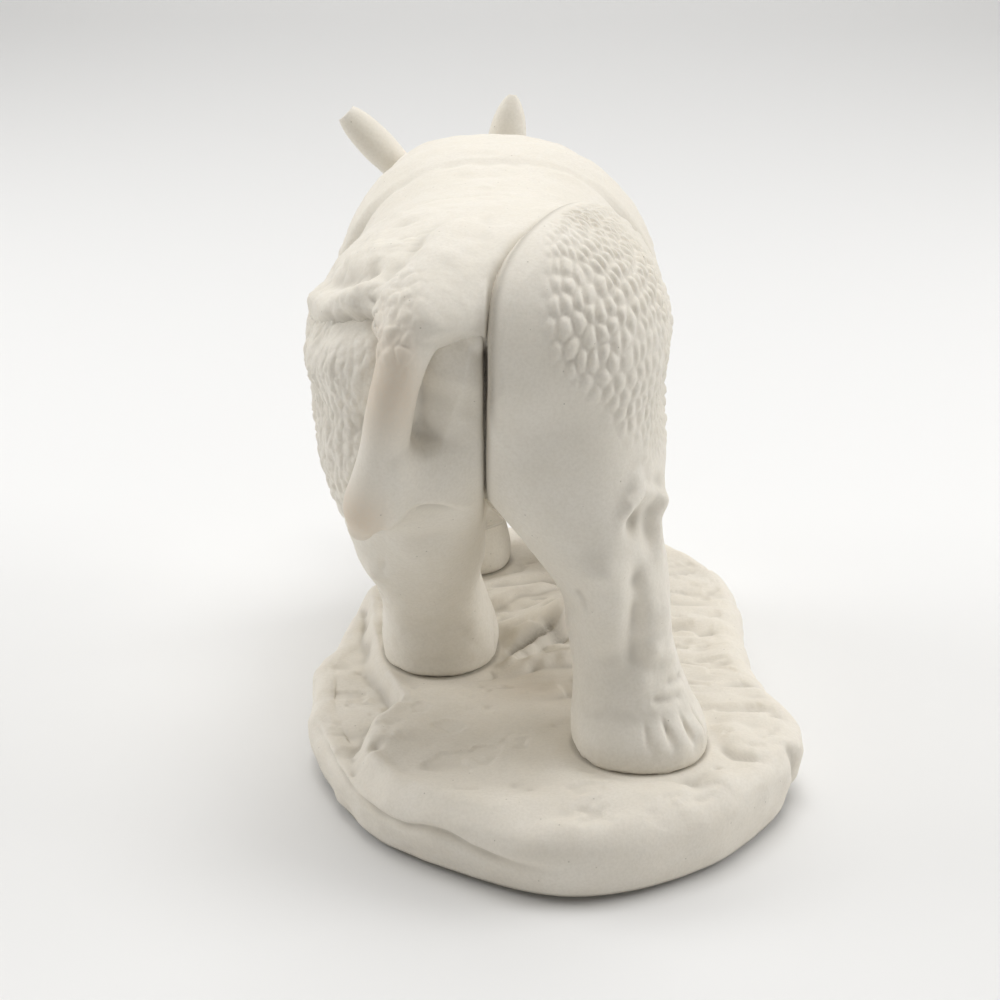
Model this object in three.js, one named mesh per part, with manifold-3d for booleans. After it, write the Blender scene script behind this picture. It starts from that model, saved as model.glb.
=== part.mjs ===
// A bisque porcelain figure of a one-horned rhinoceros walking over a rock plinth.
//
// Every casting of the figure is a piece of its own: the plinth, the hollow body, the hollow head and legs, and the
// solid horn, ears and tail, luted together with slip. Lengths are in millimetres and +Z is up. The animal looks
// along -Y, and its left side is +X. Heights of the animal are measured from the walked-on face of the plinth.
//
// Each casting is described by a field, a number that is negative inside the clay and about the distance to its
// surface outside. Rays cast from a spine inside the casting find the surface, ring by ring.

import * as THREE from 'three';
import { mergeVertices } from 'three/addons/utils/BufferGeometryUtils.js';
import Module from 'manifold-3d';

const wasm = await Module();
wasm.setup();

// Plinth
const PLINTH_HALF_WIDTH = 73;
const PLINTH_HALF_LENGTH = 115;
const PLINTH_HEIGHT = 24; // table to the walked-on face
const PLINTH_WALL = 5; // thickness of the cast shell
const PLINTH_FOOT = 7; // width of the flat foot rim
const PLINTH_UNDERCUT = 4; // how far the foot stands in from the widest line
const PLINTH_CENTRE_X = -19; // the animal's middle plane is x = 0, and stands left of the plinth's middle
const RIM_ROUNDING = 8; // radius where the walked-on face turns into the side
const SHELF_DROP = 6; // the lower shelf along the left edge
const ROCK_CREST = 8.5; // height of the highest crest between the feet

// Body
const BACK_HEIGHT = 149; // withers and rump above the plinth
const BELLY_HEIGHT = 47;
const BODY_HALF_WIDTH = 50;
const RUMP_Y = 87; // rear end of the body's own casting, under the thighs
const NECK_Y = -112; // front end of the neck inside the head
const BODY_WALL = 5;
const VENT_RADIUS = 5; // belly vent
const AIR_HOLE_RADIUS = 3.5; // pierced holes between the hollow castings

// Folds of the hide
const PLATE_PROUD = 2.4; // how far the right thigh's plate stands off the rump
const LEFT_PLATE_PROUD = 1.2;
const PLATE_ROUNDING = 3; // how widely a plate's edge is rounded
const FOLD_STEP = 2.4; // height of a fold's edge
const FOLD_GROOVE = 2.2; // depth of the groove before it
const FOLD_WIDTH = 6;
const SHIELD_PROUD = 3; // overhang of the left hip's shield

// Legs, tail, ears, horn
const LEG_WALL = 5;
const SOLE_THICKNESS = 4;
const EAR_WALL = 2;
const HEAD_WALL = 4.5;
const HEAD_YAW = 19; // degrees to the animal's left
const HEAD_PITCH = 36; // degrees below level
const HORN_HEIGHT = 17;
const HORN_RADIUS = 7;

// The luting seam that is left open between two castings
const SEAM = 0.3;

const { abs, max, min, sqrt, cos, sin, exp, PI, pow } = Math;
const V = (x, y, z) => new THREE.Vector3(x, y, z);
const clamp = (t, low = 0, high = 1) => min(high, max(low, t));
// A soft step from 0 at low to 1 at high. low may be the larger of the two.
const ease = (low, high, t) => {
  const u = clamp((t - low) / (high - low));
  return u * u * (3 - 2 * u);
};
const degrees = THREE.MathUtils.degToRad;

// Smooth joins of two fields. join keeps the nearer surface and fills the corner over a width k, and trim keeps what
// is inside both, with the edge rounded over k. fillet is the part that a join adds to either of its fields.
const fillet = (a, b, k) => (k / 4) * max(0, 1 - abs(a - b) / k) ** 2;
const join = (a, b, k) => min(a, b) - fillet(a, b, k);
const trim = (a, b, k) => max(a, b) + fillet(a, b, k);

// A value read from a short list of stations by a smooth curve through them.
function stationCurve(stations, column, t) {
  const last = stations.length - 1;
  const rising = stations[last][0] > stations[0][0];
  const passed = ([station]) => (rising ? t > station : t < station);
  const i = min(last - 1, stations.slice(1).filter(passed).length);
  const slopeAt = (k) => {
    const [before, after] = [stations[max(0, k - 1)], stations[min(last, k + 1)]];
    return (after[column] - before[column]) / (after[0] - before[0]);
  };
  const span = stations[i + 1][0] - stations[i][0];
  const u = clamp((t - stations[i][0]) / span);
  const [from, to] = [stations[i][column], stations[i + 1][column]];
  const [a, b] = [slopeAt(i) * span, slopeAt(i + 1) * span];
  return from + u * a + u * u * (3 * (to - from) - 2 * a - b) + u * u * u * (2 * (from - to) + a + b);
}

// A lofted form: at each station a rounded box of the given half widths, closed by a rounded end at both ends. The
// result is the radial distance from the loft's surface.
function loftField(across, along, end, halfAcross, halfAlong, power) {
  const sides = pow(abs(across) / halfAcross, power) + pow(abs(along) / halfAlong, power);
  const n = pow(sides + pow(end.share, power), 1 / power);
  const length = sqrt(across * across + along * along + (end.share * end.length) ** 2);
  return n > 1e-6 ? length * (1 - 1 / n) : -min(halfAcross, halfAlong);
}

// An egg with its three half sizes.
function egg(x, y, z, a, b, c) {
  const n = sqrt((x / a) ** 2 + (y / b) ** 2 + (z / c) ** 2);
  return n > 1e-6 ? sqrt(x * x + y * y + z * z) * (1 - 1 / n) : -min(a, b, c);
}

// One fold of the hide: the hide behind the sheet's edge stands out by FOLD_STEP and fades over a plate's width, and a
// groove runs before it. s is the distance from the edge, positive on the plate.
function foldRelief(s, strength, fade = 26) {
  const plate = FOLD_STEP * ease(-FOLD_WIDTH / 3, FOLD_WIDTH / 3, s) * exp(-max(0, s) / fade);
  const groove = FOLD_GROOVE * exp(-(((s + FOLD_WIDTH * 0.45) / (FOLD_WIDTH * 0.55)) ** 2));
  return strength * (plate - groove);
}

// Body stations from the neck to the rump: y, drop of the back below BACK_HEIGHT, rise of the belly above
// BELLY_HEIGHT, share of BODY_HALF_WIDTH, squareness of the section, and how far the body bends to the left
const BODY_STATIONS = [
  [-120, 8, 40, 0.66, 2.4, 5],
  [-101, 3, 24, 0.76, 2.8, 0],
  [-84, 2, 12, 0.88, 2.6, -2],
  [-62, 0, 4, 0.965, 2.6, -3],
  [-30, 3, -1, 0.95, 2.4, -2.5],
  [0, 3, 3, 0.93, 2.4, -1.5],
  [28, 0, 12, 0.9, 2.5, -0.5],
  [55, 1, 24, 0.86, 2.6, 0],
  [87, 4, 34, 0.82, 2.7, 0],
];
const RUMP_END = 34; // length of the rounded rear end
const NECK_END = 14;

const bodyTop = (y) => BACK_HEIGHT - stationCurve(BODY_STATIONS, 1, y);
const bodyBottom = (y) => BELLY_HEIGHT + stationCurve(BODY_STATIONS, 2, y);
const bodyHalfWidth = (y) => BODY_HALF_WIDTH * stationCurve(BODY_STATIONS, 3, y);
const bodyAxis = (y) => V(stationCurve(BODY_STATIONS, 5, y), y, (bodyTop(y) + bodyBottom(y)) / 2);

// Folds that run round the body, each with the sheet it lies in (y of its edge at the back, how it leans and bows),
// the side that stands proud, and its strength on the back and on the flank.
const BODY_FOLDS = {
  thigh: { y: 3, lean: 0.03, bow: 9, proud: 1, onBack: 0.4, onFlank: 0.7 },
  ribs: { y: -46, lean: -0.1, bow: 8, proud: -1, onBack: 0.12, onFlank: 1.3 },
  shoulder: { y: -88, lean: 0.3, bow: -4, proud: 1, onBack: 0.1, onFlank: 0.9 },
  collar: { y: -103, lean: 0.25, bow: -10, proud: -1, onBack: 0.5, onFlank: 1.1 },
};
const foldEdge = (fold, below) => fold.y + fold.lean * below + fold.bow * sin(PI * clamp(below / 100));

function bodyRelief(y, z) {
  const below = bodyTop(y) - z;
  const flank = ease(4, 34, below);
  let relief = 0;
  for (const fold of Object.values(BODY_FOLDS)) {
    const strength = THREE.MathUtils.lerp(fold.onBack, fold.onFlank, flank) * ease(104, 78, below);
    relief += foldRelief((y - foldEdge(fold, below)) * fold.proud, strength);
  }
  return relief;
}

// The left hip's shield ends in an overhanging edge that drops forward along the flank.
const shieldEdge = (y) => BACK_HEIGHT - 28 + 12 * ease(RUMP_Y - 41, RUMP_Y + 1, y);

function hipShieldRelief(x, y, z) {
  const above = z - shieldEdge(y);
  const where = ease(8, 18, x) * ease(0, 8, y - foldEdge(BODY_FOLDS.thigh, BACK_HEIGHT - z));
  return SHIELD_PROUD * where * ease(-2, 2, above) * ease(30, 4, above);
}

function bodyBase(x, y, z) {
  const front = NECK_Y + NECK_END;
  const rear = RUMP_Y - RUMP_END;
  const share = y > rear ? (y - rear) / RUMP_END : y < front ? (front - y) / NECK_END : 0;
  const end = { share, length: y > rear ? RUMP_END : NECK_END };
  const power = stationCurve(BODY_STATIONS, 4, y);
  const axis = bodyAxis(y);
  return loftField(x - axis.x, z - axis.z, end, bodyHalfWidth(y), bodyTop(y) - axis.z, power);
}

// Under the thighs the body's casting draws in, so that the legs' shafts cover it.
const THIGH_DRAW_IN = 9;

function drawnIn(y, z) {
  const below = BACK_HEIGHT - z;
  return THIGH_DRAW_IN * ease(32, 60, below) * ease(0, 18, y - foldEdge(BODY_FOLDS.thigh, below));
}

// Beside the tail the left buttock is hollow, under the overhang of the rump. The rump stands out where the tail
// grows from it.
const BUTTOCK_DEPTH = 5.5;
const DOCK_RISE = 5;

function buttockHollow(x, y, z) {
  const edge = BACK_HEIGHT - 19.5 - 4 * ease(7, -1, x);
  const height = ease(edge + 2.5, edge - 4, z) * ease(BACK_HEIGHT - 65, BACK_HEIGHT - 37, z);
  return BUTTOCK_DEPTH * height * ease(22, 16, x) * ease(-1.2, -0.2, x) * ease(RUMP_Y - 42, RUMP_Y - 21, y);
}

function dockRise(x, y, z) {
  const bell = exp(-(((x - 11) / 7.5) ** 2) - ((z - BACK_HEIGHT + 20) / 12) ** 2);
  return DOCK_RISE * bell * ease(-1.5, 3.5, x) * ease(RUMP_Y - 47, RUMP_Y - 13, y);
}

const bodySurface = (x, y, z) =>
  bodyBase(x, y, z) - bodyRelief(y, z) - hipShieldRelief(x, y, z) + drawnIn(y, z) + buttockHollow(x, y, z) -
  dockRise(x, y, z);

// Leg stations from the sole up: height, outer and inner edge seen from behind, rear and front edge seen from the
// side, squareness of the section. The last one is where the rounded top of the leg begins.
const FLANK = BODY_HALF_WIDTH + 1;
const HAUNCH_Y = RUMP_Y + 1;
const LEGS = {
  leg_hind_right: {
    stations: [
      [0, -63.5, -25, 85, 43, 2.3],
      [7, -63, -24.5, 84.5, 42.5, 2.4],
      [16, -58.5, -25, 79, 42, 2.4],
      [31, -53.5, -23.5, 76, 40, 2.4],
      [47, -52.5, -20.5, 80, 30, 2.4],
      [63, -FLANK + 1, -8.5, HAUNCH_Y - 4, 10, 2.4],
      [79, -FLANK + 2, 4, HAUNCH_Y - 1, -4, 2.5],
      [BACK_HEIGHT - 51, -FLANK + 3, 12, HAUNCH_Y + 1, -2, 2.6],
      [BACK_HEIGHT - 33, -FLANK + 4, 14, HAUNCH_Y, 2, 2.6],
    ],
    top: BACK_HEIGHT - 3,
  },
  leg_hind_left: {
    stations: [
      [0, 32.5, -3, 20, -26, 2.3],
      [7, 33, -3.5, 21, -26, 2.4],
      [20, 32.5, 0, 25, -18, 2.4],
      [31, 34, 2, 34, -12, 2.4],
      [43, 38.5, 0.5, 46, -8, 2.4],
      [57, 41, 0, 62, -12, 2.4],
      [73, FLANK - 6.5, -4, HAUNCH_Y - 9, -12, 2.5],
      [BACK_HEIGHT - 59, FLANK - 3.5, -10, HAUNCH_Y - 3, -8, 2.6],
      [BACK_HEIGHT - 41, FLANK - 5.5, -14, HAUNCH_Y - 4, -2, 2.6],
    ],
    top: BACK_HEIGHT - 17,
  },
  leg_front_left: {
    stations: [
      [0, 26.5, -7.5, -62, -99, 2.3],
      [7, 27, -7.5, -61.5, -99, 2.4],
      [20, 24.5, -4.5, -66, -96, 2.4],
      [38, 27, -3, -63, -96, 2.4],
      [54, 36, -1, -54, -94, 2.4],
      [70, FLANK - 8, 5, -42, -93, 2.4],
      [BACK_HEIGHT - 59, FLANK - 6, 12, -38, -92, 2.5],
    ],
    top: BACK_HEIGHT - 33,
  },
  leg_front_right: {
    stations: [
      [0, -53, -19, -72, -108, 2.3],
      [7, -53.5, -19, -71, -108, 2.4],
      [20, -50, -21, -74, -102, 2.4],
      [38, -49, -20, -66, -98, 2.4],
      [54, -50, -15, -54, -95, 2.4],
      [70, -FLANK - 2, -11, -42, -94, 2.4],
      [BACK_HEIGHT - 59, -FLANK - 2.5, -14, -38, -92, 2.5],
    ],
    top: BACK_HEIGHT - 33,
  },
};

const SOLE_WASTE = 8;
const MIDDLE_GAP = 0.9; // half the gap between the two thighs

const legAt = (leg, column, z) => stationCurve(leg.stations, column, z);

// The form of a leg below its plate, by itself.
function shaftField(leg, x, y, z) {
  const shoulder = leg.stations[leg.stations.length - 1][0];
  const [outer, inner, rear, front, squareness] = [1, 2, 3, 4, 5].map((column) => legAt(leg, column, z));
  const dome = leg.top - shoulder;
  const end = { share: max(0, (z - shoulder) / dome), length: dome };
  const halfX = abs(outer - inner) / 2;
  return loftField(x - (outer + inner) / 2, y - (rear + front) / 2, end, halfX, (rear - front) / 2, squareness);
}

// How widely each shaft's join to the body is filled.
const SHAFT_FILLET = 12;

// The body with the legs' shafts joined to it, which the plates lie on.
function jointedBody(x, y, z) {
  const body = bodySurface(x, y, z);
  return LEG_NAMES.reduce((field, name) => field - fillet(body, shaftField(LEGS[name], x, y, z), SHAFT_FILLET), body);
}

const beforeThighFold = (y, z) => foldEdge(BODY_FOLDS.thigh, BACK_HEIGHT - z) - y;

// The edge of the right thigh's plate, seen from above: the place across as a share of BODY_HALF_WIDTH, and the place
// along, counted from RUMP_Y.
const PLATE_ARCH = [
  [-1.2, -83], [-1, -88], [-0.9, -86], [-0.78, -81], [-0.66, -72], [-0.52, -57], [-0.4, -42], [-0.28, -27],
  [-0.18, -16], [-0.1, -7], [0, 5],
];
const ARCH_ROUNDING = 5;
const archEdge = (x) => RUMP_Y + stationCurve(PLATE_ARCH, 1, x / BODY_HALF_WIDTH);

function rightPlateField(x, y) {
  const [edge, edgeOn] = [archEdge(x), archEdge(x + 1)];
  return trim((edge - y) / sqrt(1 + (edgeOn - edge) ** 2), x + MIDDLE_GAP, ARCH_ROUNDING);
}

// Where the left thigh's plate lies: below the shield's edge and behind the fold.
const leftPlateField = (y, z) => trim(z - shieldEdge(y), beforeThighFold(y, z), 4);

// The width over which a plate's lower end runs into the thigh.
const PLATE_FILLET = 9;

// The left plate lies close under the shield's edge and stands proud below it.
const leftProud = (y, z) => LEFT_PLATE_PROUD * (1.6 * ease(0, 24, shieldEdge(y) - z) - 0.6);

// Under the thighs the legs part, by this much on each side of the middle plane.
const LEG_PARTING = 12;

// A leg as it is modelled: its shaft, the plate that laps over the rump, and the middle plane between the thighs.
function legSurface(name, x, y, z) {
  const hind = name.includes('hind');
  const shaft = shaftField(LEGS[name], x, y, z) + (hind ? buttockHollow(x, y, z) : 0);
  const joined = shaft - fillet(shaft, bodySurface(x, y, z), SHAFT_FILLET);
  if (!hind) return joined;
  const right = name.endsWith('right');
  const region = right ? rightPlateField(x, y) : leftPlateField(y, z);
  const plate = trim(jointedBody(x, y, z) - (right ? PLATE_PROUD : leftProud(y, z)), region, PLATE_ROUNDING);
  const middle = (right ? x : -x) + MIDDLE_GAP - LEG_PARTING * ease(62, 34, z);
  return trim(join(joined, plate, PLATE_FILLET), middle, PLATE_ROUNDING);
}

const LEG_NAMES = Object.keys(LEGS);

// Head, in its own frame: s forward along the skull, t to the animal's left, w up.
const HEAD_ORIGIN = V(11.5, NECK_Y - 5, BACK_HEIGHT - 18);
const headFrame = (() => {
  const [yaw, pitch] = [degrees(HEAD_YAW), degrees(HEAD_PITCH)];
  const level = V(sin(yaw), -cos(yaw), 0);
  const forward = level.clone().multiplyScalar(cos(pitch)).add(V(0, 0, -sin(pitch)));
  const up = level.clone().multiplyScalar(sin(pitch)).add(V(0, 0, cos(pitch)));
  return { forward, up, left: up.clone().cross(forward).normalize() };
})();

const headDirection = (s, t, w) =>
  V(0, 0, 0)
    .addScaledVector(headFrame.forward, s)
    .addScaledVector(headFrame.left, t)
    .addScaledVector(headFrame.up, w);
const headPoint = (s, t, w) => headDirection(s, t, w).add(HEAD_ORIGIN);

// The masses of the head: place along, across and up, half sizes, and how widely each is joined to the rest.
const HEAD_MASSES = [
  [2, 0, -15, 22, 21, 19, 0], // back of the skull
  [20, 0, -18, 22, 19, 16, 8],
  [16, 0, -35, 21, 16.5, 14, 9], // jaw
  [39, 0, -26, 22, 14, 13.5, 9], // bridge of the nose
  [56, 0, -27, 14, 13, 12.5, 7], // muzzle
  [56, 0, -16, 10, 9, 7, 6], // boss under the horn
  [67, 0, -33, 8.5, 9, 8.5, 6], // pointed upper lip
  [55, 0, -40, 14, 9.5, 6.5, 4], // lower lip
];
const HEAD_LUMPS = [
  [29, 14, -12, 6, 4, 4.5, 4], // brow
  [31, 16.5, -18, 3.6, 3.2, 2.9, 2], // eye
  [66, 8, -27, 4, 3.4, 3.4, 3], // nostril wing
];

function headSurface(x, y, z) {
  const p = V(x, y, z).sub(HEAD_ORIGIN);
  const [s, t, w] = [p.dot(headFrame.forward), p.dot(headFrame.left), p.dot(headFrame.up)];
  let field = 1e3;
  for (const [a, b, c, ra, rb, rc, k] of HEAD_MASSES) {
    const mass = egg(s - a, t - b, w - c, ra, rb, rc);
    field = k ? join(field, mass, k) : mass;
  }
  for (const [a, b, c, ra, rb, rc, k] of HEAD_LUMPS) {
    field = join(field, egg(s - a, abs(t) - b, w - c, ra, rb, rc), k);
  }
  return field;
}

// The tail: a round form that tapers along a curve and ends in a flattened tuft. Each point is given from the tail's
// root on the rump, with the tail's radius there.
const TAIL_ROOT = V(2, RUMP_Y - 31, BACK_HEIGHT - 19);
const TAIL_POINTS = [
  [2, -10, -8, 8],
  [6, 10, 1.5, 8],
  [10.5, 25, 3, 7.4],
  [16, 34, -1, 7],
  [20.3, 37.5, -10.5, 6.5],
  [22.6, 37, -21, 6.3],
  [24.4, 34.5, -32, 6.4],
  [26.4, 31, -42, 7.2],
  [29.2, 27, -51, 7],
  [31.5, 23.5, -57.5, 3.8],
].map(([x, y, z, radius]) => ({ centre: V(x, y, z).add(TAIL_ROOT), radius }));

function tailSurface(x, y, z) {
  const p = V(x, y, z);
  let nearest = 1e3;
  for (let i = 0; i < TAIL_POINTS.length - 1; i += 1) {
    const [from, to] = [TAIL_POINTS[i], TAIL_POINTS[i + 1]];
    const step = to.centre.clone().sub(from.centre);
    const t = clamp(p.clone().sub(from.centre).dot(step) / step.lengthSq());
    const away = p.distanceTo(from.centre.clone().addScaledVector(step, t));
    nearest = min(nearest, away - THREE.MathUtils.lerp(from.radius, to.radius, t));
  }
  return nearest;
}

// Fields of the castings as they meet: each takes its own side of the fillets between it and its neighbours.
const HEAD_FILLET = 9;
const TAIL_EDGE = 1; // rounding where the tail's root stops at the right plate
const TAIL_FILLET = 20;

// The tail's root melts into the rump, and below it the tail hangs clear.
const tailFillet = (y, z) =>
  0.1 + TAIL_FILLET * ease(TAIL_ROOT.z - 10, TAIL_ROOT.z + 3, z) * ease(RUMP_Y - 37, RUMP_Y - 5, y);

function bodyField(x, y, z) {
  const body = bodySurface(x, y, z);
  const head = fillet(body, headSurface(x, y, z), HEAD_FILLET);
  const tail = fillet(body, tailSurface(x, y, z), tailFillet(y, z));
  return jointedBody(x, y, z) - head - tail;
}

function headField(x, y, z) {
  const head = headSurface(x, y, z);
  return head - fillet(head, bodySurface(x, y, z), HEAD_FILLET);
}

function tailField(x, y, z) {
  const tail = tailSurface(x, y, z);
  const melted = tail - fillet(tail, bodySurface(x, y, z), tailFillet(y, z));
  return trim(melted, -rightPlateField(x, y), TAIL_EDGE);
}

// A leg is cast a little below its sole and cut off level there.
const legField = (name) => (x, y, z) => max(legSurface(name, x, y, z), -SOLE_WASTE - z);

// Closed geometry from rings of points between two poles, with its faces turned outwards.
function ringsGeometry(rings, startPole, endPole) {
  const sides = rings[0].length;
  const points = [startPole, ...rings.flat(), endPole];
  const positions = new Float32Array(points.flatMap((p) => [p.x, p.y, p.z]));
  const index = [];
  const at = (ring, side) => 1 + ring * sides + (side % sides);
  for (let side = 0; side < sides; side += 1) {
    index.push(0, at(0, side + 1), at(0, side));
    index.push(points.length - 1, at(rings.length - 1, side), at(rings.length - 1, side + 1));
  }
  for (let ring = 0; ring < rings.length - 1; ring += 1) {
    for (let side = 0; side < sides; side += 1) {
      const [a, b, c, d] = [at(ring, side), at(ring, side + 1), at(ring + 1, side + 1), at(ring + 1, side)];
      index.push(a, b, c, a, c, d);
    }
  }
  let volume = 0;
  for (let i = 0; i < index.length; i += 3) {
    const [a, b, c] = [points[index[i]], points[index[i + 1]], points[index[i + 2]]];
    volume += a.dot(b.clone().cross(c));
  }
  if (volume < 0) index.reverse();
  const geometry = new THREE.BufferGeometry();
  geometry.setAttribute('position', new THREE.BufferAttribute(positions, 3));
  geometry.setIndex(index);
  return geometry;
}

// The point where a ray from inside the clay leaves the level set of a field.
function surfacePoint(field, level, origin, direction, reach) {
  let [low, high] = [0, reach];
  for (let step = 0; step < 26; step += 1) {
    const middle = (low + high) / 2;
    const p = origin.clone().addScaledVector(direction, middle);
    [low, high] = field(p.x, p.y, p.z) < level ? [middle, high] : [low, middle];
  }
  return origin.clone().addScaledVector(direction, (low + high) / 2);
}

// The skin of a casting: rays leave a spine square to it, and fan out over each of its ends. level grows or shrinks
// the skin by that distance.
function castSkin(field, spine, level, { rings, endRings, sides, reach = 120, reference = V(1, 0, 0) }) {
  const curve = new THREE.CatmullRomCurve3(spine, false, 'centripetal');
  const fan = Array.from({ length: endRings }, (_, i) => (PI / 2) * (1 - (i + 1) / (endRings + 1)));
  const rows = [
    ...fan.map((tilt) => [0, -tilt]),
    ...Array.from({ length: rings + 1 }, (_, i) => [i / rings, 0]),
    ...fan.reverse().map((tilt) => [1, tilt]),
  ];
  const ray = (t, tilt, turn) => {
    const [origin, tangent] = [curve.getPoint(t), curve.getTangent(t)];
    const across = reference.clone().addScaledVector(tangent, -reference.dot(tangent)).normalize();
    const beside = tangent.clone().cross(across);
    const direction = across.multiplyScalar(cos(turn) * cos(tilt));
    direction.addScaledVector(beside, sin(turn) * cos(tilt)).addScaledVector(tangent, sin(tilt));
    return surfacePoint(field, level, origin, direction, reach);
  };
  const ringsOfPoints = rows.map(([t, tilt]) =>
    Array.from({ length: sides }, (_, side) => ray(t, tilt, (2 * PI * side) / sides)),
  );
  return solid(ringsGeometry(ringsOfPoints, ray(0, -PI / 2, 0), ray(1, PI / 2, 0)));
}

// From a closed three.js geometry to a solid that can be cut, and back.
function solid(geometry) {
  const bare = geometry.clone();
  bare.deleteAttribute('normal');
  bare.deleteAttribute('uv');
  const merged = mergeVertices(bare, 1e-4);
  return new wasm.Manifold(
    new wasm.Mesh({
      numProp: 3,
      vertProperties: new Float32Array(merged.attributes.position.array),
      triVerts: new Uint32Array(merged.index.array),
    }),
  );
}

function shape(manifold) {
  const mesh = manifold.getMesh();
  const geometry = new THREE.BufferGeometry();
  geometry.setAttribute('position', new THREE.BufferAttribute(new Float32Array(mesh.vertProperties), 3));
  geometry.setIndex(new THREE.BufferAttribute(new Uint32Array(mesh.triVerts), 1));
  geometry.computeVertexNormals();
  return geometry;
}

// A round hole's cutter from one point to another.
function drill(from, to, radius) {
  const length = from.distanceTo(to);
  const geometry = new THREE.CylinderGeometry(radius, radius, length, 12);
  const turn = new THREE.Quaternion().setFromUnitVectors(V(0, 1, 0), to.clone().sub(from).normalize());
  geometry.applyQuaternion(turn);
  geometry.translate(...from.clone().lerp(to, 0.5).toArray());
  return solid(geometry);
}

// The largest closed piece of a cut, with crumbs left aside.
function largest(manifold) {
  const pieces = manifold.decompose();
  return pieces.sort((a, b) => b.volume() - a.volume())[0];
}

// Spines that the skins are cast from
const BODY_SPINE = [RUMP_Y - 31, 20, -20, -60, NECK_Y + 12].map(bodyAxis);
const HEAD_SPINE = [headPoint(2, 0, -17), headPoint(22, 0, -24), headPoint(42, 0, -28), headPoint(59, 0, -30)];
const ANKLE_HEIGHT = 12;
const hipHeight = (leg) => leg.stations[leg.stations.length - 1][0] - 6;

// A leg's spine is straight, so that the rings of rays never cross.
function legSpine(leg) {
  const [hip, ankle] = [hipHeight(leg), ANKLE_HEIGHT].map((z) => {
    const middleOf = (column) => (legAt(leg, column, z) + legAt(leg, column + 1, z)) / 2;
    return V(middleOf(1), middleOf(3), z);
  });
  return [hip, hip.clone().lerp(ankle, 0.5), ankle];
}

// Body
const BODY_GRID = { rings: 36, endRings: 6, sides: 36 };
const bodyOuter = castSkin(bodyField, BODY_SPINE, 0, BODY_GRID);
const bodyCutter = castSkin(bodyField, BODY_SPINE, SEAM, BODY_GRID);

// The core inside the body: it draws in with the outside, so that the wall keeps its thickness under the thighs.
const coreForm = (x, y, z) => bodyBase(x, y, z) + drawnIn(y, z) + buttockHollow(x, y, z);

function makeBody() {
  const core = castSkin(coreForm, BODY_SPINE, -BODY_WALL - FOLD_GROOVE, { rings: 16, endRings: 4, sides: 22 });
  const belly = bodyAxis(-20);
  const holes = [drill(V(belly.x, belly.y, BELLY_HEIGHT / 2), belly, VENT_RADIUS)];
  for (const name of LEG_NAMES) {
    const hip = legSpine(LEGS[name])[0];
    holes.push(drill(V(hip.x, hip.y, BELLY_HEIGHT), hip, AIR_HOLE_RADIUS));
  }
  holes.push(drill(bodyAxis(NECK_Y + 32), HEAD_SPINE[1], AIR_HOLE_RADIUS));
  return largest(holes.reduce((body, hole) => body.subtract(hole), bodyOuter.subtract(core)));
}

// Legs
const HIND_LEG_GRID = { rings: 19, endRings: 5, sides: 26 };
const FRONT_LEG_GRID = { rings: 15, endRings: 3, sides: 18 };

// Everything below the soles, which stand a seam above the walked-on face.
const groundBlock = new THREE.BoxGeometry(3 * PLINTH_HALF_LENGTH, 3 * PLINTH_HALF_LENGTH, 4 * SOLE_WASTE);
const ground = solid(groundBlock.translate(0, 0, SEAM - 2 * SOLE_WASTE));

function makeLeg(name) {
  const leg = LEGS[name];
  const grid = name.includes('hind') ? HIND_LEG_GRID : FRONT_LEG_GRID;
  const outer = castSkin(legField(name), legSpine(leg), 0, grid);
  const spine = legSpine(leg);
  const hollow = (x, y, z) => max(shaftField(leg, x, y, z), SOLE_THICKNESS - LEG_WALL - z);
  const core = castSkin(hollow, spine, -LEG_WALL, {
    rings: 7,
    endRings: 2,
    sides: 12,
  });
  return largest(outer.subtract(core).subtract(bodyCutter).subtract(ground));
}

// Head
const HEAD_GRID = { rings: 19, endRings: 5, sides: 24 };
const headOuter = castSkin(headField, HEAD_SPINE, 0, HEAD_GRID);
const headCutter = castSkin(headField, HEAD_SPINE, SEAM, HEAD_GRID);

function makeHead() {
  const core = castSkin(headSurface, HEAD_SPINE, -HEAD_WALL, { rings: 6, endRings: 2, sides: 12 });
  return largest(headOuter.subtract(core).subtract(bodyCutter));
}

// Tail
const TAIL_SPINE = TAIL_POINTS.slice(0, -1).map(({ centre }) => centre);
const TAIL_GRID = { rings: 22, endRings: 3, sides: 12, reach: 26 };

// An ear: a rolled leaf on a short stalk, open along its front and end. facing is where the opening looks, and the
// widths are half widths from the stalk to the end. flatness is its depth from front to back over its width.
function makeEar(root, tip, facing, flatness, widths) {
  const axis = tip.clone().sub(root);
  const length = axis.length();
  axis.normalize();
  const front = facing.clone().addScaledVector(axis, -facing.dot(axis)).normalize();
  const side = axis.clone().cross(front);
  const [rows, innerRows, sides] = [9, 6, 14];
  const ring = (t, inset) => {
    const width = stationCurve(widths, 1, t) - inset;
    return Array.from({ length: sides }, (_, i) => {
      const turn = (2 * PI * i) / sides;
      const open = max(0, cos(turn)) ** 2;
      return root
        .clone()
        .addScaledVector(axis, length * t * (1 - 0.34 * open * ease(0.35, 1, t)))
        .addScaledVector(front, flatness * width * cos(turn))
        .addScaledVector(side, width * sin(turn));
    });
  };
  const outer = Array.from({ length: rows }, (_, i) => ring(i / (rows - 1), 0));
  const inner = Array.from({ length: innerRows }, (_, i) => {
    const depth = i / (innerRows - 1);
    return ring(0.97 - 0.55 * depth, EAR_WALL * (0.35 + 0.65 * depth));
  });
  const bottom = root.clone().addScaledVector(axis, length * 0.36);
  return solid(ringsGeometry([...outer, ...inner], root.clone().addScaledVector(axis, -1), bottom));
}

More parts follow.
